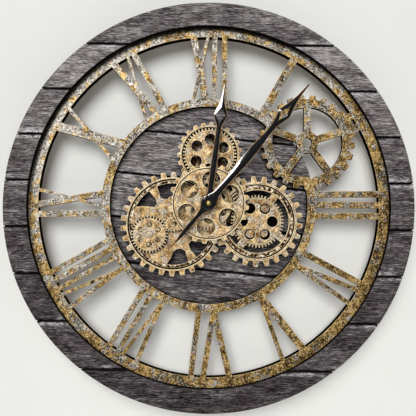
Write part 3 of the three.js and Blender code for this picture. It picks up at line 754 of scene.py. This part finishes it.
def turned_by(loop, angle):
    a = math.radians(angle)
    c, s = math.cos(a), math.sin(a)
    return [Vector((p.x * c - p.y * s, p.x * s + p.y * c)) for p in loop]


def ring_boards(outer, inner, low, high):
    """Outlines of the pieces of one horizontal board that a ring keeps."""
    low, high = max(low, -outer) + SEAM, min(high, outer) - SEAM
    if low < inner < high or low < -inner < high:
        top = high > inner
        edge, sign = (low, 1) if top else (-high, -1)
        right = chord(outer, edge, outer, 1, 30)
        left = chord(outer, edge, outer, -1, 30)
        near_right = chord(inner, edge, inner, 1, 26)
        near_left = chord(inner, edge, inner, -1, 26)
        arch = right + left[::-1][1:] + near_left + near_right[::-1][1:]
        return [[Vector((p.x, sign * p.y)) for p in arch]]
    if low >= inner or high <= -inner:
        return []
    sides = (-1, 1)
    return [chord(outer, low, high, side, 14) + chord(inner, low, high, side, 14)[::-1] for side in sides]


def frame_ring():
    back, front = level("frame_ring")
    outer = radius("frame_ring")
    loops = face_loops("frame_ring")
    inner = max(p.length for p in loops[1])
    base = front - BOARD_THICK
    backing = Shape()
    rims = [circle(outer - 0.8, count=240), circle(inner + 0.8, count=220)]
    backing.plate(rims, back, base, 0.3, 0.5, BLACK)
    backing.make("frame_backing_ring", "clock_body", "dark_planks", paint="ring_planks")
    boards = Shape()
    for n, (low, high) in enumerate(board_cuts(outer, RING_SEAM, RING_PITCH)):
        for loop in ring_boards(outer, inner, low, high):
            boards.grained([turned_by(loop, RING_TILT)], base + 0.05, front, n)
    boards.make("frame_boards", "clock_body", "dark_planks", ["frame_ring"], "ring_planks")


def disc_holes():
    """(place, radius) of the holes for the wheels' bushes and for the hands' shaft."""
    bushes = [(centre(f"{side}_bush"), BUSH_HOLE) for side in ("left", "right", "top")]
    return bushes + [(Vector((0, 0)), SHAFT_HOLE)]


def centre_disc():
    back, front = level("centre_disc")
    outer = radius("centre_disc")
    base = front - BOARD_THICK
    holes = [circle(r, at, 28) for at, r in disc_holes()]
    backing = Shape()
    backing.plate([circle(outer - 0.5, count=200), *holes], back, base, 0.3, 0.4, BLACK)
    backing.make("disc_backing", "clock_body", "dark_planks")
    boards = Shape()
    for n, (low, high) in enumerate(board_cuts(outer, DISC_SEAM, DISC_PITCH)):
        low, high = max(low, -outer) + SEAM, min(high, outer) - SEAM
        steps = 60
        loop = chord(outer, low, high, 1, steps) + chord(outer, low, high, -1, steps)[::-1]
        if low + SEAM <= -outer:
            loop = loop[1:-1]
        if high + SEAM >= outer:
            loop.pop(steps)
        loop = turned_by(loop, DISC_TILT)
        kept = [h for h, (at, r) in zip(holes, disc_holes()) if inside_board(at, r, low, high)]
        boards.grained([loop, *kept], base + 0.05, front, n + 20)
    boards.make("disc_boards", "clock_body", "dark_planks", ["centre_disc"])


def inside_board(at, r, low, high):
    height = turned_by([at], -DISC_TILT)[0].y
    return low < height - r and height + r < high


def dial_plate():
    back, front = level("dial_plate")
    shape = Shape().plate(face_loops("dial_plate"), back, front, 0.5, 0.4)
    shape.make("gold_dial_plate", "clock_body", "antique_gold", ["dial_plate"])
    liner = Shape()
    rims = [circle(LINER_R[1], count=200), circle(LINER_R[0], count=200)]
    liner.plate(rims, back - LINER_THICK, back - 0.05, 0.2, 0.2, tone=BLACK)
    liner.make("window_liner", "clock_body", "dark_planks", paint="ring_planks")


frame_ring()
centre_disc()
dial_plate()


# ---------------------------------------------------------------- show wheels
SHAFT_GAP = 9.0  # room for the hands' shaft in the left wheel
RIM_GAP = 8.2  # the same in its toothed rim


def toothed_rim(shape, teeth_loop, crest, inner, at, back, front, step):
    """A toothed plate with a raised rim inside its teeth."""
    bore = circle(inner, at, 120)
    shape.plate([teeth_loop, bore], back, front - step, 0.5)
    shape.plate([circle(crest, at, 120), bore], front - step - 0.5, front, 0.5)


def washer(shape, outer, inner, at, back, front, tone=0.0, bevel=0.3):
    """A flat ring."""
    shape.plate([circle(outer, at, 120), circle(inner, at, 110)], back, front, bevel, tone=tone)


def past_shaft(r, at, gap):
    """Where a circle of radius `gap` round the hands' shaft meets a circle round `at`.

    Gives the direction of the shaft and half the angle between the crossings, seen from `at` and from
    the shaft."""
    apart = at.length
    toward = math.degrees(math.atan2(-at.x, -at.y))
    seen = math.acos((r * r + apart * apart - gap * gap) / (2 * r * apart))
    turn = math.acos((r * r - apart * apart - gap * gap) / (2 * apart * gap))
    return toward, math.degrees(seen), math.degrees(turn)


def circle_past_shaft(r, at, gap, far):
    """A circle round `at`, led round the far or the near side of the hands' shaft."""
    toward, seen, turn = past_shaft(r, at, gap)
    last = toward + turn if far else toward - 360 + turn
    return arc(r, toward + seen, toward + 360 - seen, 110, at) + arc(gap, toward - turn, last, 12)[1:-1]


def ring_past_shaft(outer, inner, at, gap):
    """A ring round `at`, open where the hands' shaft goes through."""
    toward, far, _ = past_shaft(outer, at, gap)
    near = past_shaft(inner, at, gap)[1]
    loop = arc(outer, toward + far, toward + 360 - far, 110, at)
    return loop + arc(inner, toward + 360 - near, toward + near, 110, at)


def left_wheel():
    back, front = level("left_wheel")
    at = centre("left_bush")
    loops = face_loops("left_wheel")
    tip = max((p - at).length for p in loops[0])
    root = tip - 7.6
    groove, rust_ring, web = root - 2.2, root - 4.4, root - 8.7
    openings = [loop for loop in loops[1:] if max((p - at).length for p in loop) < web + 1]
    shape = Shape()
    outline = teeth(30, tip, root, 0.9, 0.38, 0.62, at)
    bore = circle_past_shaft(groove, at, RIM_GAP, True)
    shape.plate([outline, bore], back, front - 0.9, 0.5)
    crest = ring_past_shaft(root - 0.2, groove, at, SHAFT_GAP)
    shape.plate([crest], front - 1.4, front, 0.5)
    # painted shade: the floor of the groove is black
    dark = ring_past_shaft(groove + 0.4, rust_ring - 0.4, at, SHAFT_GAP)
    shape.plate([dark], back, back + 1.4, 0.3, tone=BLACK)
    shape.plate([ring_past_shaft(rust_ring, web, at, SHAFT_GAP)], back, front - 1.2, 0.3, tone=RUST)
    face = circle_past_shaft(web + 1.5, at, SHAFT_GAP, False)
    shape.plate([face, *openings], back, front - 1.9, 0.3)
    shape.make("left_show_wheel", "clock_body", "gear_gold", ["left_wheel"])


def right_wheel():
    back, front = level("right_wheel")
    at = centre("right_bush")
    tip = radius("right_wheel")
    root = tip - 8.0
    groove, rust_ring = root - 3.6, root - 5.4
    window_outer, window_inner = root - 12.0, root - 23.2
    bore = circle(3.3, at, 28)
    holes = ring_of(8, 6, 21.5, 31, at)
    spokes = [spoke_window(window_inner, window_outer, a, a + 90, 10.2, at) for a in (35, 125, 215, 305)]
    shape = Shape()
    outline = teeth(25, tip, root, 9.6, 0.34, 0.6, at)
    toothed_rim(shape, outline, root - 0.5, groove, at, back, front, 0.8)
    # painted shade: the floor of the groove is black
    washer(shape, groove + 0.4, rust_ring - 0.4, at, back, back + 1.4, BLACK)
    washer(shape, rust_ring, window_outer + 1.2, at, back, front - 1.6, RUST)
    washer(shape, window_outer + 1.4, window_outer, at, back, front - 1.0)
    web = circle(window_outer + 1.3, at, 90)
    shape.plate([web, *spokes, *holes, bore], back, front - 2.2, 0.4)
    fine = teeth(48, window_inner + 3.9, window_inner, 3.5, 0.34, 0.52, at, 0.3)
    shape.plate([fine, *holes, bore], front - 2.6, front - 1.2, 0.3)
    washer(shape, window_inner - 0.2, window_inner - 1.4, at, front - 1.4, front - 0.2, bevel=0.35)
    shape.plate([circle(window_inner - 2.0, at, 80), *holes, bore], front - 1.4, front, 0.4)
    shape.plate([circle(6.2, at, 32), bore], front - 0.1, front + 0.7, 0.4)
    # smaller discs that show in three of the round holes, set off their middles so that a crescent of the
    # black disc behind shows beside each as painted shade
    for angle, size, away in ((31, 6.4, 1.4), (211, 6.6, -1.2), (151, 6.0, -2.4)):
        middle = polar(21.5 + away, angle, at)
        shape.plate([circle(size, middle, 30)], back, back + 1.6, 0.3)
    # painted shade: a black disc behind the holes, so that they read dark
    shape.plate([circle(31, at, 80), bore], back - 0.2, back + 0.3, 0.1, tone=BLACK)
    shape.make("right_show_wheel", "right_train", "gear_gold", ["right_wheel"])


def top_wheels():
    back, front = level("top_wheel")
    at = centre("top_bush")
    tip = radius("top_wheel")
    root = tip - 4.2
    rim = root - 2.6
    bore = circle(3.3, at, 28)
    holes = ring_of(8.4, 6, 22, 3, at)
    shape = Shape()
    outline = teeth(23, tip, root, 3.7, 0.34, 0.66, at)
    toothed_rim(shape, outline, root - 0.3, rim, at, back, front + 1.1, 0.7)
    shape.plate([circle(rim + 0.4, at, 90), *holes, bore], back, front - 1.4, 0.2, tone=BLACK)
    shape.make("top_show_wheel", "top_train", "gear_gold", ["top_wheel"])
    back, front = level("top_inner_gear")
    comb = rim - 1.5
    shape = Shape()
    fine = teeth(48, comb, comb - 4.2, 5.8, 0.34, 0.5, at, 0.3)
    shape.plate([fine, *holes, bore], back, front - 1.0, 0.3)
    washer(shape, comb - 3.8, comb - 5.4, at, front - 1.4, front - 0.2)
    shape.plate([circle(comb - 6.2, at, 80), *holes, bore], front - 1.4, front, 0.4)
    shape.plate([circle(6.2, at, 32), bore], front - 0.1, front + 0.7, 0.4)
    shape.make("top_fine_gear", "top_train", "gear_gold", ["top_inner_gear"])


def centre_wheel():
    back, front = level("centre_wheel")
    middle = Vector((0, 0))
    tip = radius("centre_wheel")
    root = tip - 5.0
    groove, face = root - 1.7, root - 3.1
    bore = circle(7.3, count=32)
    hole_middles = [polar(34, 6.5 + 60 * i) for i in range(6)]
    holes = [circle(13, place, 40) for place in hole_middles]
    shape = Shape()
    outline = teeth(24, tip, root, 6.2, 0.34, 0.64, middle)
    toothed_rim(shape, outline, root - 0.2, groove, middle, back, front, 0.4)
    # painted shade: a black floor, seen in the groove round the face
    shape.plate([circle(groove + 0.4, count=120), *holes, bore], back, front - 2.1, 0.2, tone=BLACK)
    shape.plate([circle(face, count=110), *holes, bore], front - 2.2, front - 0.3, 0.4)
    for place in hole_middles:
        washer(shape, 14.1, 13, place, front - 0.6, front + 0.1)
    shape.make("centre_show_wheel", "centre_train", "gear_gold", ["centre_wheel"])
    inner = Shape()
    small = ring_of(7.2, 6, 22.5, -2, middle)
    comb = [toothed_part(48, 39, 34, 2, 140, 222), circle(31.6, count=80)]
    inner.plate(comb, back - 0.7, back - 0.15, 0.2)
    washer(inner, 33.4, 32.2, middle, back - 0.3, back - 0.02, bevel=0.12)
    inner.plate([circle(31.2, count=80), *small, bore], back - 0.7, back - 0.05, 0.25)
    inner.make("centre_fine_gear", "centre_train", "gear_gold")


def tooth_phase(loop, at, count):
    """The clock angle of a gear's first tooth."""
    tip = max((p - at).length for p in loop)
    turns = [math.atan2(p.x - at.x, p.y - at.y) * count for p in loop if (p - at).length > tip - 0.01]
    return math.degrees(math.atan2(sum(map(math.sin, turns)), sum(map(math.cos, turns)))) / count


def small_gear():
    back, front = level("small_gear")
    at = centre("small_gear")
    outline = face_loops("small_gear")[0]
    tip = radius("small_gear") + 0.4
    bore = circle(3.0, at, 24)
    blind = ring_of(4.5, 6, 14.5, 0, at)
    comb = teeth(35, tip, tip - 3.6, tooth_phase(outline, at, 35), 0.3, 0.46, at, 0.3)
    shape = Shape()
    shape.plate([circle(tip - 0.3, at, 70), bore], back, back + 0.7, 0.2, tone=BLACK)
    shape.plate([circle(tip - 3.8, at, 70), bore], back + 0.6, front - 2.0, 0.2, tone=STAINED)
    shape.plate([comb, circle(tip - 5.0, at, 70)], back + 0.6, front - 0.8, 0.3)
    shape.plate([circle(tip - 4.2, at, 70), *blind, bore], front - 2.2, front, 0.45)
    shape.make("small_fine_gear", "small_gear", "gear_gold", ["small_gear"])
    back, front = level("small_gear_stud")
    profile = [(0, back), (2.7, back), (2.7, front - 1.5), (4.5, front - 1.5), (4.5, front - 0.5)]
    profile += [(4.0, front), (2.4, front), (2.2, front - 0.5), (1.2, front - 0.3), (0, front - 0.1)]
    stud = Shape().lathe(profile, at)
    stud.make("small_gear_rivet", "clock_body", "gear_gold", ["small_gear_stud"])


def left_pinion():
    back, front = level("left_pinion_arbor")
    at = centre("left_bush")
    top = level("small_gear")[1] + 0.4
    outline = face_loops("left_pinion_arbor", top)[0]
    shape = Shape()
    shape.plate([outline], top - 4.4, top - 0.6, 0.4)
    collar = [(0, top - 0.7), (9.4, top - 0.7), (9.4, top - 0.3), (9.0, top), (5.6, top)]
    collar += [(5.4, top - 0.4), (4.0, top - 0.4), (4.0, front - 0.4), (3.6, front), (2.0, front)]
    shape.lathe(collar + [(1.8, front - 0.5), (0, front - 0.5)], at)
    shape.lathe([(0, back), (3.0, back), (3.0, top - 4.3), (0, top - 4.3)], at, RUST)
    shape.make("left_pinion_and_arbor", "left_train", "gear_gold", ["left_pinion_arbor"])


def arbor_button(side):
    """The domed end of an arbor, in front of its wheel."""
    front = level(f"{side}_arbor")[1]
    profile = [(0, front - 0.4), (4.2, front - 0.4), (4.2, front + 0.3), (3.7, front + 0.8)]
    profile += [(2.2, front + 1.2), (0, front + 1.3)]
    button = Shape().lathe(profile, centre(f"{side}_bush"))
    button.make(f"{side}_arbor_button", f"{side}_train", "gear_gold")


left_wheel()
right_wheel()
top_wheels()
centre_wheel()
small_gear()
left_pinion()
arbor_button("right")
arbor_button("top")


# ---------------------------------------------------------------- hands
RIDGE = 1.7  # most that the middle ridge rises in a hand's tail and tip
CHAMFER = 0.65
STRIP_ALONG = (0.0, 0.16, 0.34, 0.5, 0.7, 1.0)  # places between the centre and the diamond
STRIP_WIDTH = (0.1, 0.2, 0.62, 0.4, 0.2, 0.1)  # the steeper edge strip's share of the half width there
STRIP_LEAN = (18, 18, 18, 15, 10, 9)  # the strip's slope there, in degrees
FACE_SLOPE = math.tan(math.radians(8))  # between the strip and the ridge
TAIL_SLOPE = math.tan(math.radians(7))
TIP_SLOPE = math.tan(math.radians(18))
TIP_LENGTH = 26
BRONZE = 1.0  # tones of the face attribute
# tone of the painted red-brown reflection near the tips
TIP_REFLECTION = 0.4
BOSS = 11.5  # radius of the round middle


def blade_sections(outline, window, axis, side):
    """(distance from the centre, half width, half width of the window) along a hand."""
    along = sorted((p.dot(axis), p.dot(side)) for p in outline if p.dot(side) > 0.05)
    gap = sorted((p.dot(axis), abs(p.dot(side))) for p in window)
    gap = [gap[0], max(gap, key=lambda s: s[1]), gap[-1]]
    stations = sorted({r for r, _ in along + gap})
    dense = [stations[-1]]
    for a, b in zip(stations, stations[1:]):
        steps = max(1, int((b - a) / 3))
        dense += [a + (b - a) * i / steps for i in range(steps)]
    dense = np.array(sorted(dense))
    halves = np.interp(dense, *zip(*along))
    holes = np.interp(dense, *zip(*gap), 0, 0)
    return zip(dense, halves, np.minimum(holes, halves * 0.8))


def half_section(r, half, hole, widest, back):
    """Corners (from the middle line, from the wall) of one half of a hand, outer edge first."""
    edge = min(CHAMFER, half * 0.5)
    width = half - edge
    top = back + 2 * CHAMFER
    if r < 0:
        strip, rise = width * 0.5, width * 0.5 * TAIL_SLOPE
        ridge = min(RIDGE, width * TAIL_SLOPE)
    elif r < widest:
        strip = width * float(np.interp(r / widest, STRIP_ALONG, STRIP_WIDTH))
        lean = float(np.interp(r / widest, STRIP_ALONG, STRIP_LEAN))
        rise = strip * math.tan(math.radians(lean))
        ridge = rise + (width - strip) * FACE_SLOPE
    else:
        strip = (width - hole) * 0.6
        rise = strip * TIP_SLOPE
        ridge = min(RIDGE, (width - hole) * TIP_SLOPE)
    strip = min(strip, width - hole)
    if hole and r < widest:
        ridge = rise + (width - hole - strip) * FACE_SLOPE
    outer = [(half, back), (half, back + CHAMFER), (width, top), (width - strip, top + rise)]
    return outer + [(hole, top + ridge), (hole, back)]


def hand(name, node, body):
    """A blade with a ridge down its middle, a bronze chamfer along its edge and a diamond window."""
    back = level(node)[0]
    loops = face_loops(node)
    axis = max(loops[0], key=lambda p: p.length).normalized()
    side = Vector((axis.y, -axis.x))
    window = max(loops[1:], key=lambda loop: max(p.length for p in loop))
    sections = list(blade_sections(loops[0], window, axis, side))
    last = sections[-1][0]
    widest = max(sections, key=lambda section: section[2])[0]
    shape = Shape()
    for sign in (1, -1):
        rows = []
        for r, half, hole in sections:
            rows.append(list(range(len(shape.points), len(shape.points) + 6)))
            corners = half_section(r, half, hole, widest, back)
            shape.points += [(*(axis * r + side * sign * x), w) for x, w in corners]
        for (one, two), (here, there) in zip(zip(rows, rows[1:]), zip(sections, sections[1:])):
            # the last part of each blade carries the painted red-brown reflection
            tone = TIP_REFLECTION if here[0] > last - TIP_LENGTH else 0.0
            open_middle = here[2] > 0 or there[2] > 0
            for i in range(6):
                if i == 4 and not open_middle:
                    continue
                j = (i + 1) % 6
                quad = [one[i], two[i], two[j], one[j]]
                shape.face(quad[::-1] if sign < 0 else quad, BRONZE if i == 1 else tone)
        for end, flip in ((rows[0], sign < 0), (rows[-1], sign > 0)):
            shape.face(end[::-1] if flip else end, 0.0)
    shape.make(name, body, "black_lacquer", [node], smooth=8, weld=True)
    boss = Shape()
    top = back + 2 * CHAMFER + RIDGE * 0.75
    profile = [(0, back + 0.2), (BOSS - 0.6, back + 0.2), (BOSS - 0.6, back + 1.0)]
    profile += [(BOSS - 2.2, top - 0.25), (BOSS - 3.0, top), (0, top)]
    boss.lathe(profile, (0, 0), 0, 64)
    boss.make(name.replace("blade", "boss"), body, "black_lacquer")


hand("hour_hand_blade", "hour_hand", "hour_train")
hand("minute_hand_blade", "minute_hand", "minute_train")


def cap_nut():
    back, front = level("hand_nut")
    shape = Shape()
    profile = [(0, back), (3.0, back), (3.3, back + 0.3), (3.3, back + 1.7), (2.9, back + 2.1)]
    profile += [(2.6, back + 2.5), (2.4, front - 0.9), (1.7, front - 0.3), (0.8, front), (0, front)]
    shape.lathe(profile, (0, 0), 0, 40)
    for angle in range(0, 360, 20):
        mid = polar(3.25, angle)
        shape.plate([circle(0.28, mid, 8)], back + 0.4, back + 1.6, 0.1)
    shape.make("domed_cap_nut", "minute_train", "brass", ["hand_nut"])


cap_nut()


# ---------------------------------------------------------------- rear covers
def rear_profile(back, front):
    return edge_profile(back, front, 0.05, 0.25)


def cross(reach, half, middle):
    """The recess of a cross-head screw."""
    corners = [(half, reach), (half, half), (reach, half), (reach, -half), (half, -half), (half, -reach)]
    corners += [(-x, -y) for x, y in corners]
    return [Vector(middle) + Vector(c) for c in corners]


def spans(node):
    """The (low, high) pairs of a node's box, across and up."""
    low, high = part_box(node)
    return (low.x / MM, high.x / MM), (low.z / MM, high.z / MM)


def rear_cover(name, node, battery, openings, screws):
    """A moulded back with a raised edge, a ribbed battery lid and its fasteners."""
    back, front = level(node)
    x, y = spans(node)
    edge, floor_w = 1.4, back + 0.5
    shape = Shape()
    shape.plate([rounded_box(x, y, 2.5), *openings], floor_w, front, 0.2, 0.1)
    inner = [(low + edge, high - edge) for low, high in (x, y)]
    shape.stack([rounded_box(x, y, 2.5), rounded_box(*inner, 1.5)], rear_profile(back, floor_w + 0.1))
    across, up = spans(battery)
    middle = (up[0] + up[1]) / 2
    lid = ((across[0] - 0.5, across[1] + 0.5), (max(up[0] - 1, inner[1][0] + 0.6), up[1] + 1))
    shape.stack([rounded_box(*lid, 1.5)], rear_profile(back + 0.2, floor_w + 0.1))
    for i in range(6):
        left = across[1] - 13 + 1.8 * i
        rib = rounded_box((left, left + 0.8), (middle - 4, middle + 4), 0.35)
        shape.stack([rib], rear_profile(back, back + 0.4))
    for loop in openings[:1]:
        rim = [inset(oriented([loop])[0], -by) for by in (1.2, 0.05)]
        shape.stack(rim, rear_profile(back + 0.1, floor_w + 0.1))
    shape.make(name, "clock_body", "black_case", [node])
    if screws:
        heads = Shape()
        for place in screws:
            heads.stack([circle(2.2, place, 24), cross(1.3, 0.28, place)], rear_profile(back, floor_w))
            heads.plate([circle(2.1, place, 24)], floor_w - 0.1, floor_w + 0.1, 0.02)
        heads.make(f"{name}_screws", "clock_body", "steel")


def rear_covers():
    knob = circle(6.2, centre("setting_knob"), 40)
    rear_cover("movement_back", "movement_cover", "movement_battery", [knob], [])
    (left, right), (low, high) = spans("drive_cover")
    starts = [left + 12 + 5 * i for i in range(7)]
    slots = [rounded_box((start, start + 2), (high - 18, high - 7), 0.9) for start in starts]
    corners = [(x, y) for x in (left + 5, right - 5) for y in (low + 24, high - 5)]
    rear_cover("drive_back", "drive_cover", "drive_battery", slots, corners)


rear_covers()


# ---------------------------------------------------------------- CAD nodes that stay
def soften(node, width):
    """Joins the CAD mesh's split corners and rounds its hard edges."""
    node.modifiers.new("join_corners", "WELD").merge_threshold = 1e-6
    bevel = node.modifiers.new("soft_edges", "BEVEL")
    bevel.width = width * MM
    bevel.segments = 2
    bevel.limit_method = "ANGLE"
    bevel.angle_limit = math.radians(40)
    node.modifiers.new("edge_shading", "WEIGHTED_NORMAL").keep_sharp = True


for name, node in frame["nodes"].items():
    node.data.materials.clear()
    node.data.materials.append(MATERIALS[SLOT_OF[name]])
    if not node.hide_render:
        soften(node, 1.2 if name.startswith("wall_spacer") else 0.15)


# ---------------------------------------------------------------- wall, floor, light and camera
def sheet(name, corners, material):
    mesh = bpy.data.meshes.new(name)
    mesh.from_pydata(corners, [], [(0, 1, 2, 3)])
    mesh.materials.append(material)
    obj = bpy.data.objects.new(name, mesh)
    bpy.context.scene.collection.objects.link(obj)


WALL_Y = 0.0006  # just behind the clock's back
HALF_WALL = 4.0
FLOOR_Z = -1.9


def stage():
    pale = plaster()
    wall = [(-HALF_WALL, WALL_Y, FLOOR_Z), (HALF_WALL, WALL_Y, FLOOR_Z)]
    wall += [(HALF_WALL, WALL_Y, HALF_WALL), (-HALF_WALL, WALL_Y, HALF_WALL)]
    sheet("wall", wall, pale)
    floor = [(-HALF_WALL, -HALF_WALL, FLOOR_Z), (HALF_WALL, -HALF_WALL, FLOOR_Z)]
    floor += [(HALF_WALL, WALL_Y, FLOOR_Z), (-HALF_WALL, WALL_Y, FLOOR_Z)]
    sheet("floor", floor, pale)


KEY_DIRECTION = (-0.18, -1.0, 0.44)  # from the clock towards the softbox
KEY_SPREAD = 44  # degrees across the softbox, as seen from the clock
KEY_STRENGTH = 2.75
GLINT_PLACE = Vector((-0.377, -0.769, 0.516)) * 2.4  # a lamp that only shows in gloss
GLINT_POWER = 80
GLINT_SIZE = 0.78
REAR_PLACE = (0.5, 2.2, 0.9)  # behind the wall
REAR_POWER = 105
REAR_SIZE = 1.4
SKY_COLOR = (0.97, 0.98, 1.0, 1)
SKY_STRENGTH = 0.22
CAMERA_PLACE = (-0.0009, -0.6964, -0.0370)
CAMERA_TILT = 92.7  # degrees up from straight down
CAMERA_LENS = 39.03
SENSOR_WIDTH = 36


def place_light(name, kind, place, power, **settings):
    light = bpy.data.lights.new(name, kind)
    light.energy = power
    for key, value in settings.items():
        setattr(light, key, value)
    obj = bpy.data.objects.new(name, light)
    obj.location = place
    obj.rotation_euler = (-Vector(place)).to_track_quat("-Z", "Y").to_euler()
    bpy.context.scene.collection.objects.link(obj)
    return obj


def lights():
    key = place_light("key", "SUN", KEY_DIRECTION, KEY_STRENGTH, angle=math.radians(KEY_SPREAD))
    key.visible_glossy = False
    glint = place_light("glint", "AREA", GLINT_PLACE, GLINT_POWER, shape="DISK", size=GLINT_SIZE)
    glint.visible_diffuse = False
    rear = place_light("rear", "AREA", REAR_PLACE, REAR_POWER, size=REAR_SIZE)
    rear.visible_glossy = False
    world = bpy.data.worlds.new("studio")
    world.use_nodes = True
    background = world.node_tree.nodes["Background"]
    background.inputs["Color"].default_value = SKY_COLOR
    background.inputs["Strength"].default_value = SKY_STRENGTH
    bpy.context.scene.world = world
    bpy.context.scene.view_settings.view_transform = "Standard"


def camera():
    data = bpy.data.cameras.new("camera")
    data.sensor_width = SENSOR_WIDTH
    data.lens = CAMERA_LENS
    obj = bpy.data.objects.new("camera", data)
    obj.location = CAMERA_PLACE
    obj.rotation_euler = (math.radians(CAMERA_TILT), 0, 0)
    bpy.context.scene.collection.objects.link(obj)
    bpy.context.scene.camera = obj


stage()
lights()
camera()
